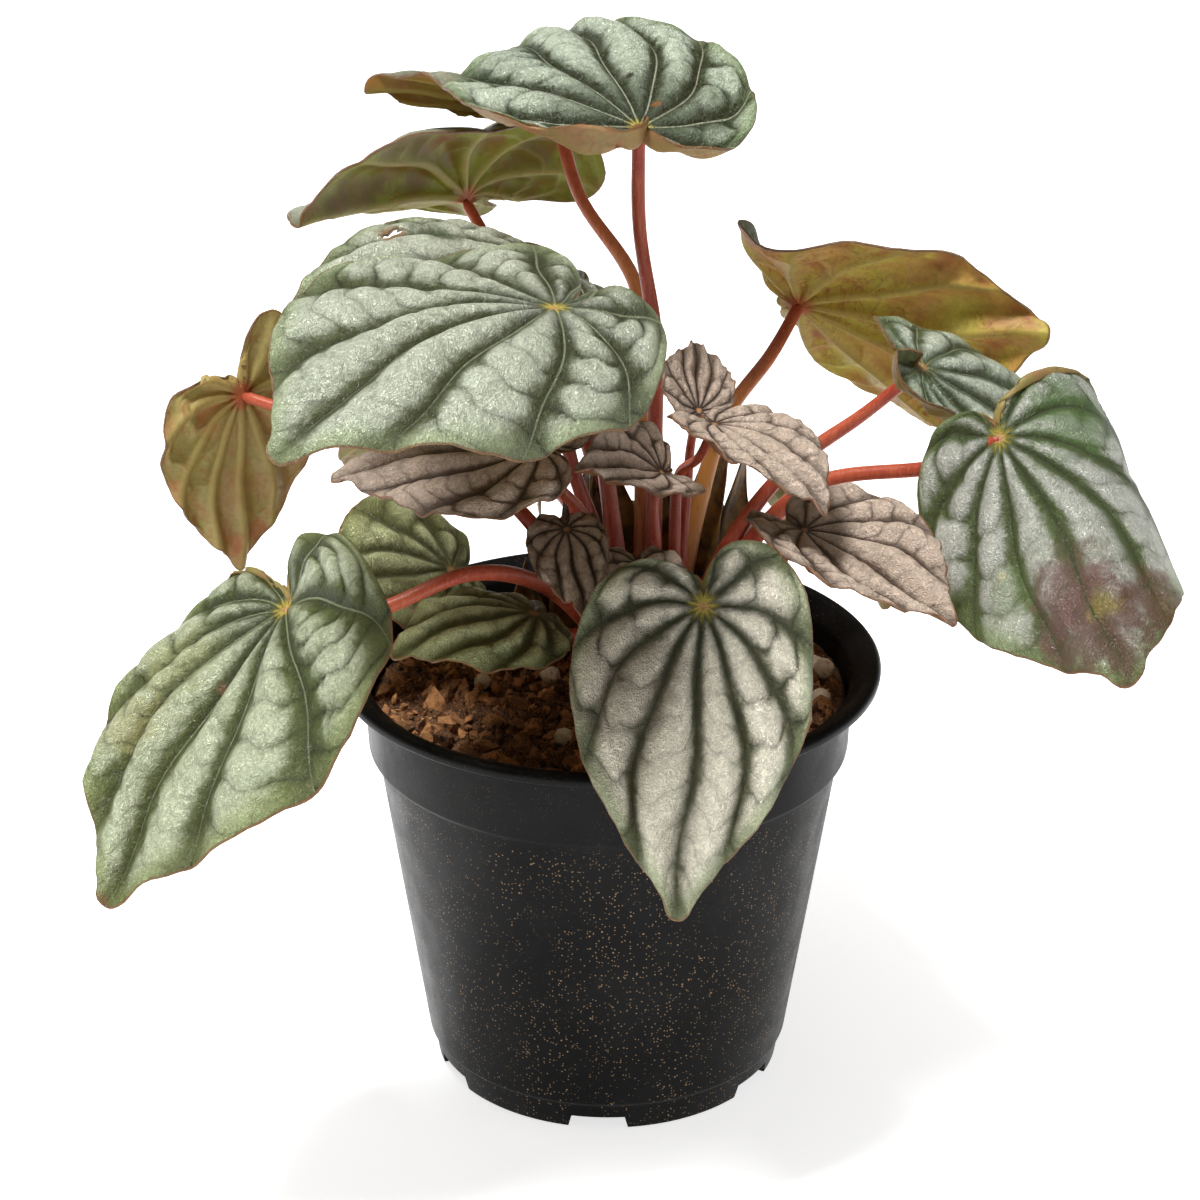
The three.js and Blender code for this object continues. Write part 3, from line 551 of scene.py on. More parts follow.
def make_blade(blade, materials):
    """The blade as one closed mesh: upper side, underside and a rounded margin."""
    side, a, panels, panel_side = blade_columns()
    row_count = LARGE_ROWS if blade.spec["length"] > LARGE_LENGTH else SMALL_ROWS
    rows = np.linspace(0, 1, row_count + 1)[1:]**0.92
    n = len(side)
    t = rows[:, None] * np.ones(n)
    grid = (side * np.ones_like(t), a * np.ones_like(t), t, panel_number(a * np.ones_like(t)))

    def per_point(centre, values):
        """The value at the centre, then the values of the grid."""
        return np.concatenate([[centre], values.ravel()])

    top = np.concatenate([blade.at[None], blade.point(*grid).reshape(-1, 3)])
    size = len(top)
    j = np.arange(n)
    following = (j + 1) % n
    fan = np.stack([0 * j, 1 + following, 1 + j, 1 + j], -1)
    inner = 1 + np.arange(row_count - 1)[:, None] * n
    quads = np.stack([inner + j, inner + following, inner + following + n, inner + j + n], -1)
    normals = vertex_normals(top, np.concatenate([fan, quads.reshape(-1, 4)]))
    t_all = per_point(0, t)
    f, width, *_ = blade.panel(*grid)
    near = per_point(0, width * np.minimum(f, 1 - f))
    rib = 0.55 * np.exp(-(near / 0.7)**2) * smooth(1 - t_all, 0, 0.5)
    under = top - normals * (THICKNESS * (1 - 0.3 * t_all**6) + rib)[:, None]
    rim = 1 + (row_count - 1) * n + j
    outward = top[rim] - top[rim - n]
    outward /= np.linalg.norm(outward, axis=1)[:, None]
    edge = (top[rim] + under[rim]) / 2 + outward * 0.3 * THICKNESS
    edge_index = 2 * size + j
    strip_top = np.stack([rim, rim[following], edge_index[following], edge_index], -1)
    strip_under = np.stack([edge_index, edge_index[following], size + rim[following], size + rim], -1)
    next_a = a[following]
    gone = torn(blade, panel_side, (a + next_a) / 2, (rows[:-1, None] + rows[1:, None]) / 2 * np.ones(n))
    kept = quads[~gone]
    walls = tear_walls(gone, quads, size)
    faces = fan[:, :3].tolist() + kept.tolist() + (size + fan[:, [0, 2, 1]]).tolist()
    for more in (size + kept[:, ::-1], strip_top, strip_under, walls):
        faces += more.tolist()
    half = n + len(kept)
    index = [0] * half + [1] * half + [0] * (2 * n + len(walls))
    points = np.concatenate([top, under, edge])
    piece = make_object(blade.spec["name"] + "_blade", points, faces, materials, index)

    # side-vein values at each face corner, since they jump from one panel to the next
    def corner_values(row, column, ahead):
        at_a = np.where(ahead, next_a[column], a[column])
        at_a = np.where(ahead & (following[column] == 0), 0.0, at_a)
        f, _, order, spacing, strength = blade.panel(panel_side[column], at_a, rows[row], panels[column])
        return np.stack([order, f, strength, spacing], -1)

    row, column = np.nonzero(~gone)
    corner = np.stack([corner_values(row, column, False), corner_values(row, column, True),
                       corner_values(row + 1, column, True), corner_values(row + 1, column, False)], 1)
    first, second = (corner_values(0 * j, j, ahead) for ahead in (False, True))
    fan_corner = np.stack([np.zeros_like(first), second, first], 1)
    last = np.full(n, row_count - 1)
    rim_corner = np.stack([corner_values(last, j, ahead) for ahead in (False, True, True, False)], 1)
    parts = [fan_corner, corner, fan_corner[:, [0, 2, 1]], corner[:, ::-1], rim_corner, rim_corner,
             np.zeros((len(walls), 4, 4))]
    add_attribute(piece, "side_veins", np.concatenate([part.reshape(-1, 4) for part in parts]), "CORNER")

    reach = per_point(0, np.linalg.norm(top[1:] - blade.at, axis=1))
    margin = per_point(20.0, (1 - t) * blade.reach(*grid[:2]))
    place = np.stack([near, per_point(0, blade.height(*grid)), margin, reach], -1)
    rim_place = place[rim].copy()
    rim_place[:, 2] = 0
    add_attribute(piece, "place", np.concatenate([place, place, rim_place]))
    return piece


def curve_through(points, samples):
    """A smooth curve through the points, at even steps of its length."""
    points = [2 * points[0] - points[1], *points, 2 * points[-1] - points[-2]]
    dense = []
    for i in range(len(points) - 3):
        p0, p1, p2, p3 = points[i:i + 4]
        spans = (p1 - p0, p2 - p1, p3 - p2)
        d0, d1, d2 = (math.sqrt(max(np.linalg.norm(span), 1e-6)) for span in spans)
        m1 = ((p1 - p0) / d0 - (p2 - p0) / (d0 + d1) + (p2 - p1) / d1) * d1
        m2 = ((p2 - p1) / d1 - (p3 - p1) / (d1 + d2) + (p3 - p2) / d2) * d1
        u = np.linspace(0, 1, 40, endpoint=i == len(points) - 4)[:, None]
        dense.append((2 * u**3 - 3 * u**2 + 1) * p1 + (u**3 - 2 * u**2 + u) * m1
                     + (-2 * u**3 + 3 * u**2) * p2 + (u**3 - u**2) * m2)
    dense = np.concatenate(dense)
    steps = np.concatenate([[0], np.cumsum(np.linalg.norm(np.diff(dense, axis=0), axis=1))])
    even = np.linspace(0, steps[-1], samples)
    return np.stack([np.interp(even, steps, dense[:, c]) for c in range(3)], -1), steps[-1]


def stalk_path(blade):
    """The stalk's centre line from the crown into the blade's underside."""
    normal = blade.base_normal()
    end = blade.at - normal * 0.5 * THICKNESS
    via = np.array(blade.spec["via"], float)
    outward = np.array([via[0] - CROWN[0], via[1] - CROWN[1], 0])
    far = np.linalg.norm(outward)
    start = outward / far * min(far, CROWN_RADIUS * 0.5) + (CROWN[0], CROWN[1], CROWN_TOP_Z - 6)
    arrive = unit((end - via) / np.linalg.norm(end - via) + 0.3 * normal)
    handle = end - arrive * 0.45 * np.linalg.norm(end - via)
    lifted = (start + via) / 2 + (0, 0, 0.12 * np.linalg.norm(start - via))
    return curve_through([start, lifted, via, handle, end], STALK_STEPS + 1)


def tube(centres, radii, sides):
    """Points and quads of an open tube round a centre line."""
    tangents = np.gradient(centres, axis=0)
    tangents /= np.linalg.norm(tangents, axis=1)[:, None]
    angle = np.linspace(0, TURN, sides, endpoint=False)[:, None]
    spoke = np.cross((1.0, 0, 0), tangents[0])
    rings = []
    for centre, tangent, radius in zip(centres, tangents, radii):
        spoke = unit(spoke - tangent * np.dot(spoke, tangent))
        other = np.cross(tangent, spoke)
        rings.append(centre + radius * (spoke * np.cos(angle) + other * np.sin(angle)))
    j = np.arange(sides)
    i = np.arange(len(centres) - 1)[:, None]
    a = i * sides + j
    b = i * sides + (j + 1) % sides
    quads = np.stack([a, b, b + sides, a + sides], -1).reshape(-1, 4)
    return np.concatenate(rings), quads


class Value:
    """A number in a material, whose sums and products become nodes."""

    def __init__(self, shader, socket):
        self.shader = shader
        self.socket = socket

    def __add__(self, other):
        return self.shader.math("ADD", self, other)

    def __sub__(self, other):
        return self.shader.math("SUBTRACT", self, other)

    def __mul__(self, other):
        return self.shader.math("MULTIPLY", self, other)

    def __truediv__(self, other):
        return self.shader.math("DIVIDE", self, other)

    def __abs__(self):
        return self.shader.math("ABSOLUTE", self, 0.0)


class Shader:
    """A material built up in coats of colour, with short calls for the nodes used here."""

    def __init__(self, name, color):
        self.material = bpy.data.materials.new(name)
        self.material.use_nodes = True
        self.tree = self.material.node_tree
        self.tree.nodes.clear()
        self.output = self.tree.nodes.new("ShaderNodeOutputMaterial")
        self.color = color

    def put(self, value, socket):
        """Links a socket or sets a constant."""
        if isinstance(value, Value):
            value = value.socket
        if isinstance(value, bpy.types.NodeSocket):
            self.tree.links.new(value, socket)
        elif isinstance(value, tuple) and len(value) == 3 and len(socket.default_value) == 4:
            socket.default_value = (*value, 1)
        else:
            socket.default_value = value

    def node(self, kind, inputs, **settings):
        made = self.tree.nodes.new(kind)
        for key, value in settings.items():
            setattr(made, key, value)
        for key, value in inputs.items():
            self.put(value, made.inputs[key])
        return made

    def number(self, kind, inputs, **settings):
        """The first result of a new node."""
        return Value(self, self.node(kind, inputs, **settings).outputs[0])

    def attribute(self, name):
        """The four numbers of an attribute."""
        source = self.node("ShaderNodeAttribute", {}, attribute_name=name)
        split = self.node("ShaderNodeSeparateColor", {"Color": source.outputs["Color"]})
        return [Value(self, socket) for socket in (*split.outputs, source.outputs["Alpha"])]

    def math(self, operation, a, b):
        return self.number("ShaderNodeMath", {0: a, 1: b}, operation=operation)

    def ramp(self, value, low, high, out_low=0.0, out_high=1.0):
        """An S curve from out_low at low to out_high at high."""
        inputs = {"Value": value, "From Min": low, "From Max": high, "To Min": out_low, "To Max": out_high}
        return self.number("ShaderNodeMapRange", inputs, interpolation_type="SMOOTHSTEP")

    def coat(self, factor, tint, blend="MIX"):
        """Lays a colour over what is there."""
        made = self.node("ShaderNodeMix", {}, data_type="RGBA", blend_type=blend, clamp_factor=True)
        for key, value in ((0, factor), (6, self.color), (7, tint)):
            self.put(value, made.inputs[key])
        self.color = made.outputs[2]

    def place(self):
        """The point in metres, in the plant's frame."""
        return self.node("ShaderNodeTexCoord", {}).outputs["Object"]

    def mapped(self, **inputs):
        """The point after it is scaled and turned."""
        return self.node("ShaderNodeMapping", {"Vector": self.place(), **inputs}).outputs[0]

    def noise(self, scale, detail=3.0, roughness=0.55, distortion=0.0, vector=None):
        """A noise of about 0.5 in the middle, scale in cells a metre."""
        inputs = {"Vector": vector or self.place(), "Scale": scale, "Detail": detail,
                  "Roughness": roughness, "Distortion": distortion}
        return self.number("ShaderNodeTexNoise", inputs)

    def surface(self, height, distance, strength=1.0, **inputs):
        """The surface with its colour and a bump."""
        bump = {"Height": height, "Distance": distance, "Strength": strength}
        inputs = {key.replace("_", " "): value for key, value in inputs.items()}
        inputs |= {"Base Color": self.color, "Normal": self.node("ShaderNodeBump", bump).outputs[0]}
        return self.node("ShaderNodeBsdfPrincipled", inputs).outputs[0]

    def through(self, surface, color, share):
        """Some light comes through the blade."""
        glow = self.node("ShaderNodeBsdfTranslucent", {"Color": color}).outputs[0]
        return self.node("ShaderNodeMixShader", {0: share, 1: surface, 2: glow}).outputs[0]

    def finish(self, surface):
        self.tree.links.new(surface, self.output.inputs["Surface"])
        return self.material


def spot(s, place, radius, raggedness):
    """1 at a place given in millimetres and 0 past a ragged edge."""
    centre = tuple(float(v) for v in to_scene(place))
    apart = s.node("ShaderNodeVectorMath", {0: s.place(), 1: centre}, operation="DISTANCE")
    uneven = {0: s.noise(260, 3), 1: raggedness * 2 * radius * MM, 2: -raggedness * radius * MM}
    ragged = s.number("ShaderNodeMath", uneven, operation="MULTIPLY_ADD")
    return s.ramp(Value(s, apart.outputs["Value"]) + ragged, radius * MM, 0.35 * radius * MM)


def add_marks(s, blade, kind, raggedness):
    """Ragged marks at their places on the blade."""
    for place, radius, tint, much in blade.spec.get(kind, []):
        s.coat(spot(s, blade.point(*place), radius, raggedness) * much, tint)


def side_vein_gap(s, order, spacing, scale, wander):
    """How far the nearest side vein is, in millimetres."""
    away = abs(s.math("FRACT", order, 0.0) - 0.5) * spacing
    return abs(away + (s.noise(scale, 2) - 0.5) * wander)


def upper_material(blade):
    """Silver film over green, dark beside the sunken veins, a yellow star at the stalk."""
    look = LOOKS[blade.spec["look"]]
    young = blade.young
    s = Shader(blade.spec["name"] + "_upper", look["green"])
    near, relief, margin, reach = s.attribute("place")
    order, _, strength, spacing = s.attribute("side_veins")

    # the dark beside the main and the side veins, with a ragged border, is partly the leaf's own dark green
    # and partly painted shade in the sunken valleys and creases
    patches = s.noise(75, 3, 0.5)
    mottles = s.noise(420, 4, 0.65, 0.6)
    ragged = (patches * 2.4 + mottles * 1.6 - 2.0) * (0.5 if young else 1.0)
    vein = look["vein"]
    width = s.ramp(reach, 5.0, 34.0, vein * (2.4 if young else 6.0), vein * (1.5 if young else 3.0))
    share = (near + ragged) / width
    valley_green_and_shade = s.math("POWER", s.ramp(share, 1.1, -0.3), 1.5) * s.ramp(margin, 0.5, 9.0, 0.4, 1.0)
    crease_dark_and_shade = s.ramp(near, 1.0, 0.1, 0.0, 0.5) * s.ramp(margin, 0.0, 9.0, 0.4, 1.0)
    away = side_vein_gap(s, order, spacing, 500, 0.8)
    side_valley_green_and_shade = s.ramp(away, 1.1 if young else 1.6, 0.1) * strength
    side_line = s.ramp(away, 0.36, 0.08) * strength
    dark = s.math("MAXIMUM", s.math("MAXIMUM", valley_green_and_shade, crease_dark_and_shade), side_valley_green_and_shade * 0.5)
    dark = dark * s.ramp(margin, 0.0, 3.0, 0.5, 1.0)

    # silver on the domes with ragged edges
    rise = 1.3 if young else look.get("rise", 2.4)
    level = relief / s.ramp(reach, 0.0, 18.0, 0.25 * rise, rise)
    silver = s.ramp(level, 0.0, 1.0) * 0.9 + patches + s.noise(32, 2, 0.5) * 0.9 + mottles * 0.9
    silver = s.ramp(silver, 2.30 - look["amount"], 3.10 - look["amount"])
    silver = silver * s.ramp(margin, 0.4, 5.0, 0.6, 1.0)
    bare = look.get("bare", 3.0 if young else 6.0)
    silver = silver * s.ramp(reach, 0.2 * bare, bare, 0.12, 1.0)
    s.coat(silver, look["silver"])
    s.coat(s.ramp(margin, 9.0, 1.0, 0.0, 0.6), look.get("edge", look["silver"]))

    # fine felt-like threads and grain, then painted shade that darkens the low places between the domes
    # and a painted highlight that lightens the dome tops
    threads = [s.ramp(abs(s.noise(scale, 1, 0.5, winding) - 0.5), 0.11, 0.0)
               for scale, winding in ((850, 1.2), (1600, 0.8))]
    felt = threads[0] * 0.6 + threads[1] * 0.4
    grain = s.noise(3000, 2, 0.6)
    shade = grain * 0.4 + felt * 0.42 + mottles * 0.55 + 0.32
    # painted shade and highlight: darker low between the domes, a little lighter on the dome tops
    shade = shade * s.ramp(level, -0.1, 1.2, 0.5, 1.12)
    gray = s.node("ShaderNodeCombineColor", {"Red": shade, "Green": shade, "Blue": shade})
    s.coat(1.0, gray.outputs[0], "MULTIPLY")

    add_marks(s, blade, "blotches", 0.7)
    # dark green beside the veins: partly the leaf's own colour, partly painted shade in the valleys and
    # creases
    s.coat(dark * 0.96, look["dark"])
    s.coat(side_line * 0.8, look["dark"])
    s.coat(s.ramp(near, 0.26, 0.13) * s.ramp(reach, 60, 15, 0.35, 0.85), look["line"])
    if not young:
        star = s.ramp(near, 0.55, 0.15) * s.ramp(reach, 4.4, 1.2)
        s.coat(star * (0.85 * look.get("star", 1.0)), STAR_COLOR)
    s.coat(s.ramp(reach, 1.0 if young else 1.6, 0.5, 0.0, 0.85), DOT_COLOR)
    s.coat(s.ramp(margin, 0.5, 0.1) * 0.8, MARGIN_COLOR)
    add_marks(s, blade, "scars", 0.6)
    surface = s.surface(felt * 0.8 + grain * 0.35 + mottles * 2.4, 0.00034, Specular_IOR_Level=0.5,
                        Roughness=mottles * 0.2 + look.get("rough", 0.26),
                        Metallic=silver * (0.12 if young else 0.3))
    return s.finish(s.through(surface, UPPER_GLOW, UPPER_GLOW_SHARE))


def under_material(blade):
    """Olive and reddish underside with pale raised veins."""
    look = UNDERSIDES.get(blade.spec.get("under", blade.spec["look"]), UNDERSIDES["plain"])
    s = Shader(blade.spec["name"] + "_underside", look["base"])
    near, _, margin, reach = s.attribute("place")
    order, _, strength, spacing = s.attribute("side_veins")
    side_line = s.ramp(side_vein_gap(s, order, spacing, 400, 0.6), 0.55, 0.12) * strength
    streaks = s.noise(900, 3, 0.6)
    much = 0.4 * look["amount"]
    s.coat(s.ramp(s.noise(70, 3), 0.42, 0.62), look["green"])
    s.coat(s.ramp(s.noise(95, 4, 0.6, 0.4), 0.72 - much, 0.95 - much), look["red"])
    s.coat(s.ramp(near, 2.2, 0.6, 0.0, 0.45), look["green"])
    netting = s.ramp(abs(s.noise(190, 2, 0.5, 1.6) - 0.5), 0.035, 0.0)
    s.coat(netting * s.ramp(s.noise(40, 2), 0.40, 0.58, 0.25, 0.95), look["red"])
    s.coat(s.ramp(streaks, 0.35, 0.75, 0.0, 0.3), (0.06, 0.04, 0.008))
    s.coat(s.ramp(near, 0.85, 0.25) * 0.5, UNDER_VEIN_COLOR)
    s.coat(side_line * 0.35, UNDER_VEIN_COLOR)
    s.coat(s.ramp(reach, 5.0, 1.5), (0.45, 0.13, 0.05))
    s.coat(s.ramp(margin, 0.5, 0.1, 0.0, 0.8), (0.20, 0.085, 0.03))
    surface = s.surface(streaks + side_line * 1.5, 0.00015, 0.8, Roughness=0.46, Specular_IOR_Level=0.3)
    return s.finish(s.through(surface, look["glow"], UNDER_GLOW_SHARE))


def stalk_material():
    """Brick red, waxy and faintly streaked, with orange stretches, painted highlight in the pale streaks and
    painted shade towards the crown.
    """
    s = Shader("stalks", (0.30, 0.042, 0.022))
    along, _, tint, dull = s.attribute("stalk")
    streaks = s.noise(1500, 3, 0.6, vector=s.mapped(Scale=(1.0, 1.0, 0.12)))
    dots = s.noise(2600, 1, 0.5)
    s.coat(s.ramp(s.noise(60, 3), 0.35, 0.65), (0.40, 0.078, 0.036))
    s.coat(tint, (0.58, 0.27, 0.065))
    s.coat(dull, (0.22, 0.11, 0.075))
    # painted shade: the stalks and the crown darken where they stand crowded under the leaves
    s.coat(s.ramp(along, 0.34, 0.0, 0.0, 0.75), (0.17, 0.016, 0.012))
    # lighter streaks: partly the stalk's own pale striations, partly painted highlight along its ridges
    s.coat(s.ramp(streaks, 0.45, 0.75, 0.0, 0.3), (0.52, 0.19, 0.095))
    s.coat(s.ramp(streaks, 0.45, 0.25, 0.0, 0.5), (0.20, 0.025, 0.014))
    s.coat(s.ramp(dots, 0.68, 0.76, 0.0, 0.5), (0.66, 0.32, 0.17))
    return s.finish(s.surface(
        streaks + dots * 0.5, 0.00012, 0.7, Roughness=0.38, Specular_IOR_Level=0.28,
        Subsurface_Weight=0.08, Subsurface_Radius=(0.0022, 0.0007, 0.0004), Subsurface_Scale=1.0,
        Coat_Weight=0.05, Coat_Roughness=0.25))


def sheath_material():
    """Withered brown skin of old leaf bases."""
    s = Shader("sheaths", (0.075, 0.040, 0.012))
    s.coat(s.ramp(s.noise(260, 4), 0.35, 0.65), (0.24, 0.13, 0.028))
    return s.finish(s.surface(s.noise(1400, 3), 0.0002, 0.8, Roughness=0.5))


def soil_material():
    """Dark crumbs and orange-brown bark."""
    s = Shader("soil", (0.024, 0.010, 0.005))
    s.coat(s.attribute("chip")[0], (0.68, 0.32, 0.12))
    s.coat(s.ramp(s.noise(900, 4, 0.65), 0.40, 0.65, 0.0, 0.6), (0.20, 0.080, 0.030))
    s.coat(s.ramp(s.noise(2200, 3, 0.6), 0.55, 0.68, 0.0, 0.6), (0.62, 0.33, 0.15))
    s.coat(s.ramp(s.noise(500, 3), 0.46, 0.34, 0.0, 0.85), (0.016, 0.008, 0.005))
    return s.finish(s.surface(s.noise(1500, 5, 0.7), 0.0006, Roughness=0.85, Specular_IOR_Level=0.35))


def perlite_material():
    """Off-white foamed balls, stained by the soil."""
    s = Shader("perlite", (0.86, 0.76, 0.60))
    s.coat(s.ramp(s.noise(700, 4, 0.65), 0.45, 0.75), (0.40, 0.25, 0.14))
    return s.finish(s.surface(s.noise(1800, 4, 0.7), 0.0005, Roughness=0.8))


def pot_material():
    """Satin black plastic with tan specks of dust in curved, patchy rows."""
    s = Shader("pot_plastic", (0.0040, 0.0040, 0.0041))
    s.coat(s.ramp(s.noise(45, 4, 0.6), 0.35, 0.7), (0.0080, 0.0080, 0.0081))
    height = s.node("ShaderNodeSeparateXYZ", {0: s.place()}).outputs["Z"]
    warped = s.mapped(Scale=(1.0, 1.0, 0.55), Rotation=(0.25, 0.2, 0.0))
    rows = s.ramp(s.noise(60, 5, 0.7, 1.2, vector=warped), 0.33, 0.56)
    body = s.ramp(height, 0.079, 0.070)
    for scale, size, share in ((1500.0, 0.27, 0.50), (800.0, 0.20, 0.80)):
        cells = s.node("ShaderNodeTexVoronoi", {"Vector": s.place(), "Scale": scale, "Randomness": 1.0})
        some = s.node("ShaderNodeSeparateColor", {"Color": cells.outputs["Color"]}).outputs["Red"]
        dot = s.ramp(cells.outputs["Distance"], size, size * 0.6) * s.ramp(some, share, share + 0.02)
        s.coat(dot * rows * s.ramp(body, 0.0, 1.0, 0.12, 1.0) * 0.8, (0.40, 0.26, 0.14))
    s.coat(s.ramp(s.noise(320, 5, 0.7), 0.62, 0.8) * 0.3, (0.06, 0.05, 0.042))
    rough = s.ramp(s.noise(130, 4, 0.6), 0.3, 0.7, 0.30, 0.42)
    grain = s.noise(2400, 3, 0.6)
    return s.finish(s.surface(grain, 0.00006, 0.6, Roughness=rough, Specular_IOR_Level=0.07))


def ring_faces(rings, sides, start, first, last):
    """Faces between rings of points from start on, closed by a fan at both ends."""
    faces = []
    for j in range(sides):
        k = (j + 1) % sides
        faces.append([first, start + k, start + j])
        for i in range(rings - 1):
            a = start + i * sides
            faces.append([a + j, a + k, a + sides + k, a + sides + j])
        a = start + (rings - 1) * sides
        faces.append([a + j, a + k, last])
    return faces


def lathe(profile, sides):
    """Points and faces of a closed profile of [radius, height] turned round +Z, closed on the axis."""
    profile = np.array(profile, float)
    angle = np.linspace(0, TURN, sides, endpoint=False)
    rings = profile[1:-1]
    points = np.stack([rings[:, 0, None] * np.cos(angle), rings[:, 0, None] * np.sin(angle),
                       rings[:, 1, None] * np.ones(sides)], -1).reshape(-1, 3)
    points = np.concatenate([points, [[0, 0, profile[0, 1]], [0, 0, profile[-1, 1]]]])
    return points, ring_faces(len(rings), sides, 0, len(points) - 2, len(points) - 1)


def rounded(profile, radii):
    """A profile whose corners are rounded, four points to each."""
    profile = np.array(profile, float)
    out = [profile[0]]
    for before, corner, after, radius in zip(profile, profile[1:], profile[2:], radii):
        back = before - corner
        ahead = after - corner
        reach = min(radius, 0.45 * np.linalg.norm(back), 0.45 * np.linalg.norm(ahead))
        start = corner + back / np.linalg.norm(back) * reach
        end = corner + ahead / np.linalg.norm(ahead) * reach
        for u in (0, 1 / 3, 2 / 3, 1):
            out.append((1 - u)**2 * start + 2 * u * (1 - u) * corner + u * u * end)
    out.append(profile[-1])
    return out


def prism_faces(start, sides):
    """Faces of a prism whose two rings of points begin at start."""
    ring = list(range(start, start + sides))
    faces = [ring[::-1], [sides + v for v in ring]]
    for v, after in zip(ring, ring[1:] + ring[:1]):
        faces.append([v, after, sides + after, sides + v])
    return faces


def cut(piece, cutter):
    """Cuts one closed mesh from another and removes the cutter."""
    modifier = piece.modifiers.new("cut", "BOOLEAN")
    modifier.object = cutter
    modifier.solver = "EXACT"
    bpy.context.view_layer.objects.active = piece
    bpy.ops.object.modifier_apply(modifier=modifier.name)
    bpy.data.objects.remove(cutter)


def make_pot():
    """The nursery pot with its rolled rim, collar, groove, foot notches and drain holes."""
    profile = [
        (0, FOOT_HEIGHT), (35.2, FOOT_HEIGHT), (35.8, 0), (38.9, 0), (40.0, 6.5), (40.9, 7.3),
        (51.3, 77.0), (53.2, 77.9), (54.0, 95.0), (RIM_RADIUS - 0.2, 95.2), (RIM_RADIUS, 97.0),
        (RIM_RADIUS - 1.0, POT_HEIGHT), (57.4, POT_HEIGHT), (56.2, 97.2), (53.2, 94.8), (52.3, 79.2),
        (50.2, 76.6), (39.6, 8.0), (38.4, 4.6), (0, 4.6),
    ]
    radii = [0.5, 0.4, 0.5, 0.35, 0.35, 0.8, 0.8, 1.0, 0.6, 0.9, 0.8, 0.6, 1.0, 1.2, 1.0, 1.0, 1.5, 1.5]
    pot = make_object("pot_body", *lathe(rounded(profile, radii), POT_SIDES), [pot_material()])
    width = 2 * FOOT_RADIUS * math.sin(math.radians(FOOT_NOTCH_ANGLE / 2))
    inside, outside = FOOT_RADIUS - 5, FOOT_RADIUS + 5
    points = []
    faces = []
    for i in range(FOOT_COUNT):
        angle = math.radians(FOOT_NOTCH_START + 360 / FOOT_COUNT * i)
        faces += prism_faces(len(points), 4)
        for z, wide in ((-FOOT_HEIGHT, width + 1.6), (FOOT_HEIGHT, width - 1.4)):
            half = wide / 2
            for x, y in ((inside, -half), (outside, -half), (outside, half), (inside, half)):
                points.append((x * math.cos(angle) - y * math.sin(angle),
                               x * math.sin(angle) + y * math.cos(angle), z))
    for i in range(DRAIN_COUNT):
        angle = TURN * (i + 0.5) / DRAIN_COUNT
        faces += prism_faces(len(points), DRAIN_SIDES)
        for z in (-1, 9):
            for v in np.linspace(0, TURN, DRAIN_SIDES, endpoint=False):
                points.append((DRAIN_CIRCLE * math.cos(angle) + DRAIN_RADIUS * math.cos(v),
                               DRAIN_CIRCLE * math.sin(angle) + DRAIN_RADIUS * math.sin(v), z))
    cut(pot, make_object("cutter", points, faces, []))
    pot.modifiers.new("edges", "EDGE_SPLIT").split_angle = math.radians(SHARP_EDGE)
    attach(pot, "root")
    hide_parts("pot")


def soil_height(x, y):
    """The soil's surface: a low mound with lumps and a bank at the right wall."""
    r = np.hypot(x, y) / SOIL_RADIUS
    mound = SOIL_EDGE_Z + (SOIL_MIDDLE_Z - SOIL_EDGE_Z) * (1 - r * r)
    lumps = (0.7 * np.sin(0.31 * x + 1.3) * np.sin(0.27 * y + 0.4)
             + 0.5 * np.sin(0.63 * x + 0.71 * y + 2.1) * np.cos(0.57 * y - 0.49 * x))
    rng = np.random.default_rng(SOIL_SEED)
    for _ in range(SOIL_WAVES):
        wave = rng.uniform(0.7, 3.2)
        angle = rng.uniform(0, TURN)
        along = x * math.cos(angle) + y * math.sin(angle)
        lumps = lumps + 0.22 / wave * np.sin(wave * along + rng.uniform(0, 6.3))
    bank = BANK_HEIGHT * smooth(r, 0.75, 0.97) * smooth(x, 15, 45)
    return mound + lumps * np.clip(6 * (1 - r), 0.3, 1) + bank


def ball(level):
    """Points and faces of a sphere of radius 1."""
    mesh = bpy.data.meshes.new("ball")
    made = bmesh.new()
    bmesh.ops.create_icosphere(made, subdivisions=level, radius=1)
    made.to_mesh(mesh)
    made.free()
    points = np.array([v.co[:] for v in mesh.vertices])
    faces = np.array([p.vertices[:] for p in mesh.polygons])
    bpy.data.meshes.remove(mesh)
    return points, faces


def random_turn(rng):
    """A random rotation matrix."""
    w, x, y, z = unit(rng.normal(size=4))
    return np.array([[1 - 2 * (y * y + z * z), 2 * (x * y - z * w), 2 * (x * z + y * w)],
                     [2 * (x * y + z * w), 1 - 2 * (x * x + z * z), 2 * (y * z - x * w)],
                     [2 * (x * z - y * w), 2 * (y * z + x * w), 1 - 2 * (x * x + y * y)]])


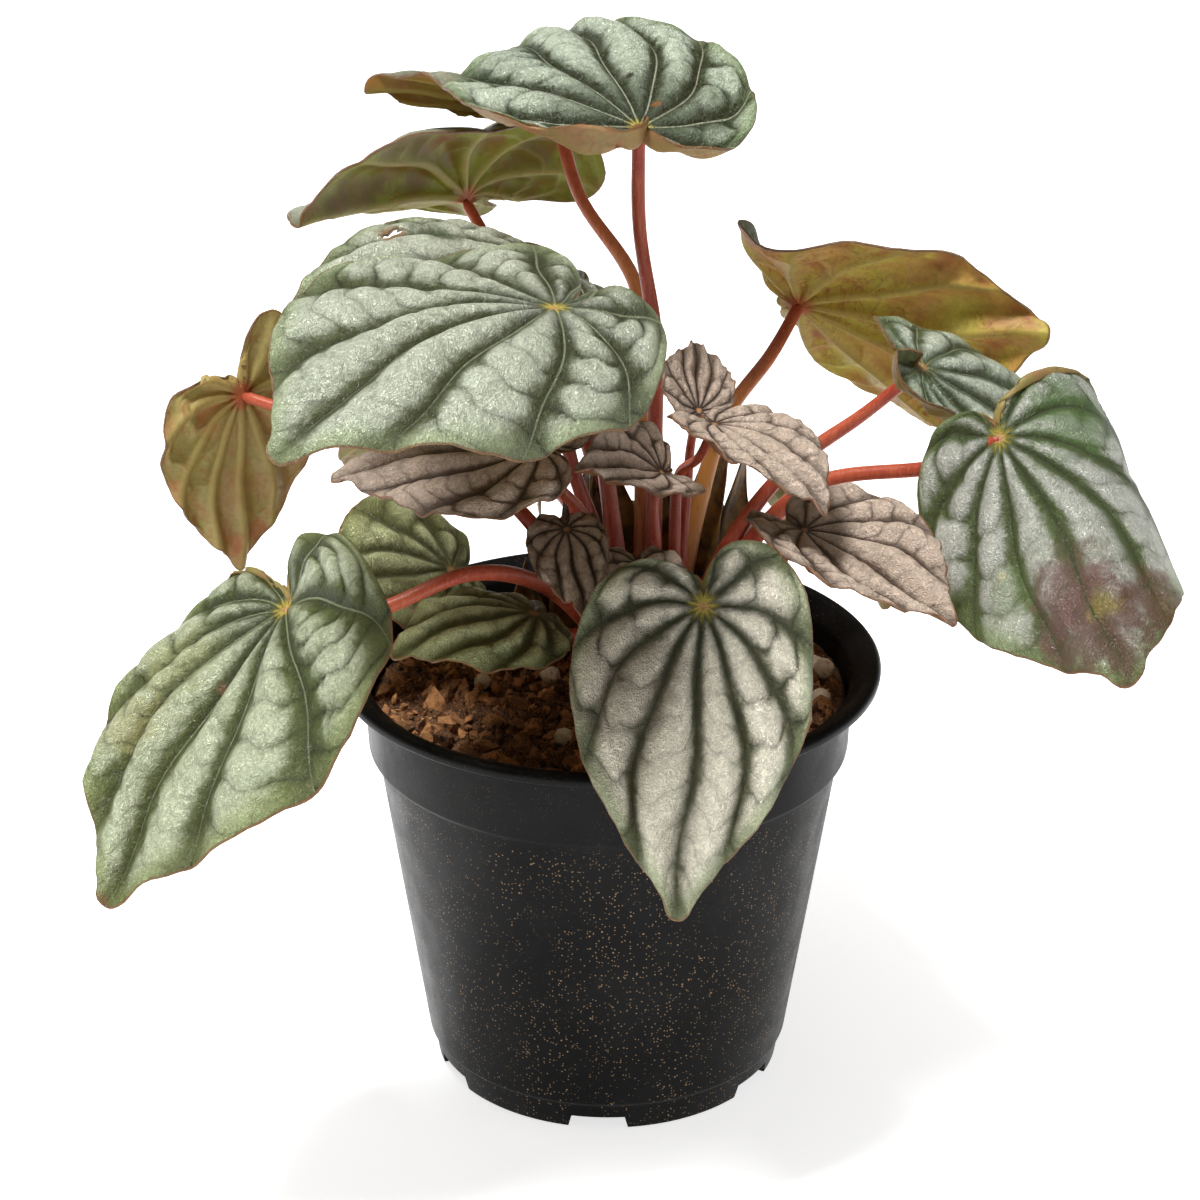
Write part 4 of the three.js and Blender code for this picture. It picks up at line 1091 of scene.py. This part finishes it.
def make_soil():
    """Soil that fills the pot, with bark chips over its surface."""
    wall = [(38.1, SOIL_BOTTOM), (39.1, 8.0), (49.5, 76.4), (51.7, 79.0), (SOIL_RADIUS, SOIL_EDGE_Z - 1)]
    angle = np.linspace(0, TURN, SOIL_SIDES, endpoint=False)
    points = [np.array([[0, 0, SOIL_BOTTOM]])]
    for radius, z in wall:
        level = np.full(SOIL_SIDES, z)
        points.append(np.stack([radius * np.cos(angle), radius * np.sin(angle), level], -1))
    for fraction in np.linspace(1, 0.02, SOIL_RINGS):
        x = SOIL_RADIUS * fraction * np.cos(angle)
        y = SOIL_RADIUS * fraction * np.sin(angle)
        points.append(np.stack([x, y, soil_height(x, y)], -1))
    points.append([[0, 0, float(soil_height(np.array(0.0), np.array(0.0)))]])
    start = sum(len(part) for part in points)
    faces = ring_faces(len(wall) + SOIL_RINGS, SOIL_SIDES, 1, 0, start - 1)
    tones = [np.full(start, 0.08)]
    rng = np.random.default_rng(CHIP_SEED)
    chip, chip_faces = ball(1)
    for _ in range(CHIP_COUNT):
        radius = CHIP_REACH * math.sqrt(rng.uniform(0, 1))
        turn = rng.uniform(0, TURN)
        size = 0.5 + 2.1 * rng.uniform(0, 1)**3.5
        x, y = radius * math.cos(turn), radius * math.sin(turn)
        shape = chip * (1 + 0.28 * rng.normal(size=(len(chip), 1))) * rng.uniform(0.35, 1.4, 3) * size
        z = float(soil_height(np.array(x), np.array(y))) + 0.25 * size
        points.append(shape @ random_turn(rng).T + (x, y, z))
        tones.append(np.full(len(chip), 0.06 + 0.94 * rng.uniform(0, 1)**1.5))
        faces += (chip_faces + start).tolist()
        start += len(chip)
    soil = make_object("soil_with_bark", np.concatenate(points), faces, [soil_material()])
    smooth_faces = np.ones(len(soil.data.polygons), bool)
    smooth_faces[-CHIP_COUNT * len(chip_faces):] = False
    soil.data.polygons.foreach_set("use_smooth", smooth_faces)
    tones = np.concatenate(tones)
    blank = np.zeros_like(tones)
    add_attribute(soil, "chip", np.stack([tones, blank, blank, blank], -1))
    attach(soil, "root")
    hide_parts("soil")


def make_perlite():
    """Pale balls half sunk in the soil's surface."""
    rng = np.random.default_rng(PERLITE_SEED)
    sphere, sphere_faces = ball(3)
    points = []
    faces = []
    for number, (x, y) in enumerate(PERLITE):
        size = PERLITE_RADIUS * rng.uniform(0.85, 1.15)
        bumps = 1 + 0.07 * np.sin(3.1 * sphere @ rng.normal(size=3) * 2 + number)
        bumps = bumps + 0.05 * np.sin(6.3 * sphere @ rng.normal(size=3) * 2)
        z = float(soil_height(np.array(x), np.array(y))) + 0.75 * size
        points.append(sphere * bumps[:, None] * size * rng.uniform(0.85, 1.1, 3) + (x, y, z))
        faces += (sphere_faces + number * len(sphere)).tolist()
    perlite = make_object("perlite", np.concatenate(points), faces, [perlite_material()])
    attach(perlite, "root")


def make_stalks(blades):
    """The crown with every stalk, each flared where it leaves the crown and where it meets its blade."""
    rng = np.random.default_rng(STALK_SEED)
    points = []
    faces = []
    values = []
    start = 0
    for blade in blades:
        centres, length = stalk_path(blade)
        share = np.linspace(0, 1, len(centres))
        flare = 0.75 * np.exp(-share * length / 20) + 0.2 * np.exp(-(1 - share) * length / 2.2)
        flare = flare - 0.6 * np.exp(-(1 - share) * length / 0.7)
        uneven = 1 + 0.03 * np.sin(share * length / 5 + rng.uniform(0, 6))
        radii = blade.spec["stalk"] * (1.02 - 0.3 * share + flare) * uneven
        ring_points, quads = tube(centres, radii, STALK_SIDES)
        first = start + np.arange(STALK_SIDES)
        last = first + len(ring_points) - STALK_SIDES
        faces += (quads + start).tolist() + [first[::-1].tolist(), last.tolist()]
        orange, dull = blade.spec.get("stalk_tint", (0.0, 0.0))
        tint = orange * np.exp(-((share - 0.45) / 0.3)**2)
        stack = np.stack([share, 0 * share, tint, np.full_like(share, dull)], -1)
        values.append(np.repeat(stack, STALK_SIDES, axis=0))
        points.append(ring_points)
        start += len(ring_points)
    sphere, sphere_faces = ball(4)
    mound = sphere * (CROWN_RADIUS, CROWN_RADIUS, CROWN_RISE)
    mound = mound * (1 + 0.06 * np.sin(sphere @ (5.0, 3.0, 2.0) * 2))[:, None]
    points.append(mound + (CROWN[0], CROWN[1], CROWN_MIDDLE_Z))
    faces += (sphere_faces + start).tolist()
    values.append(np.zeros((len(mound), 4)))
    crown = make_object("crown_and_red_stalks", np.concatenate(points), faces, [stalk_material()])
    add_attribute(crown, "stalk", np.concatenate(values))
    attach(crown, "root")
    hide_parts("crown_and_stalks")


def make_bases():
    """Short withered leaf bases that stand between the stalks."""
    rng = np.random.default_rng(BASE_SEED)
    rows = np.linspace(0, 1, 15)[:, None]
    columns = np.linspace(-1, 1, 9)
    count = rows.size * columns.size
    grid = np.arange(count).reshape(rows.size, columns.size)
    quads = np.stack([grid[:-1, :-1], grid[:-1, 1:], grid[1:, 1:], grid[1:, :-1]], -1).reshape(-1, 4)
    border = np.concatenate([grid[0, :-1], grid[:-1, -1], grid[-1, :0:-1], grid[:0:-1, 0]])
    following = np.roll(border, -1)
    walls = np.stack([following, border, border + count, following + count], -1)
    points = []
    faces = []
    for number, (x, y, height, width, heading) in enumerate(BASES):
        turn = math.radians(heading + rng.uniform(-15, 15))
        outward = np.array([math.cos(turn), math.sin(turn), 0])
        beside = np.array([-math.sin(turn), math.cos(turn), 0])
        phase = rng.uniform(0, 6, 3)
        ragged = 1 + 0.12 * np.sin(9 * rows + phase[0]) + 0.06 * np.sin(23 * rows + phase[1])
        half = 0.5 * width * (1 - rows**2.2) * ragged + 0.3
        lean = rng.uniform(0.15, 0.4) * height * rows**2 + 0.8 * np.sin(7 * rows + phase[2]) * rows
        cup = -0.3 * width * columns**2 * (1 - 0.4 * rows) + 0.25 * np.sin(14 * columns + phase[0])
        skin = (np.array([x, y, CROWN[2]]) + (lean + cup)[..., None] * outward
                + (half * columns)[..., None] * beside
                + (rows * height * (1 + 0.08 * columns))[..., None] * (0, 0, 1.0)).reshape(-1, 3)
        points += [skin, skin - outward * BASE_THICKNESS]
        for part in (quads[:, ::-1], quads + count, walls[:, ::-1]):
            faces += (part + 2 * count * number).tolist()
    bases = make_object("withered_leaf_bases", np.concatenate(points), faces, [sheath_material()])
    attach(bases, "root")


def make_blades(blades):
    """Every blade with its two materials."""
    for blade in blades:
        piece = make_blade(blade, [upper_material(blade), under_material(blade)])
        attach(piece, "root")
        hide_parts(blade.spec["name"])


def make_stage():
    """A pale floor."""
    bpy.ops.mesh.primitive_plane_add(size=FLOOR_SIZE, location=(0, 0, 0))
    floor = bpy.context.object
    floor.name = "floor"
    s = Shader("floor", FLOOR_COLOR)
    pale = {"Base Color": s.color, "Roughness": 0.9, "Specular IOR Level": 0.1,
            "Emission Color": (1, 1, 1), "Emission Strength": FLOOR_GLOW}
    floor.data.materials.append(s.finish(s.node("ShaderNodeBsdfPrincipled", pale).outputs[0]))


def add_light(name, place, size, power):
    """A soft square light that faces the plant."""
    data = bpy.data.lights.new(name, "AREA")
    data.shape = "SQUARE"
    data.size = size
    data.energy = power
    lamp = add_object(name, data)
    lamp.location = place
    lamp.rotation_mode = "QUATERNION"
    lamp.rotation_quaternion = (Vector(LIGHT_TARGET) - Vector(place)).to_track_quat("-Z", "Y")


def make_lights():
    """An even white surround, a key light, a weak fill and a broad soft sun."""
    world = bpy.data.worlds.new("studio")
    world.use_nodes = True
    background = world.node_tree.nodes["Background"]
    background.inputs[0].default_value = (1, 1, 1, 1)
    background.inputs[1].default_value = SURROUND_POWER
    bpy.context.scene.world = world
    bpy.context.scene.view_settings.view_transform = "Standard"
    add_light("key", *KEY_LIGHT)
    add_light("fill", *FILL_LIGHT)
    sun = bpy.data.lights.new("sky", "SUN")
    sun.energy = SUN_POWER
    sun.angle = math.radians(SUN_SPREAD)
    add_object("sky", sun).rotation_euler = (*(math.radians(angle) for angle in SUN_TILT), 0)


def make_camera():
    """The camera at the photograph's viewing angle."""
    data = bpy.data.cameras.new("camera")
    data.lens = CAMERA_LENS
    data.sensor_width = SENSOR_WIDTH
    camera = add_object("camera", data)
    turn = Matrix.Rotation(math.pi / 2 - CAMERA_PITCH, 4, "X") @ Matrix.Rotation(CAMERA_ROLL, 4, "Z")
    camera.matrix_world = Matrix.Translation(to_scene(CAMERA_PLACE).tolist()) @ turn
    bpy.context.scene.camera = camera


make_camera()
specs = [dict(zip(FIELDS, row)) | EXTRAS.get(row[0], {}) for row in BLADES]
all_blades = [Blade(spec, BLADE_SEED + number) for number, spec in enumerate(specs)]
make_pot()
make_soil()
make_perlite()
make_stalks(all_blades)
make_bases()
make_blades(all_blades)
make_stage()
make_lights()
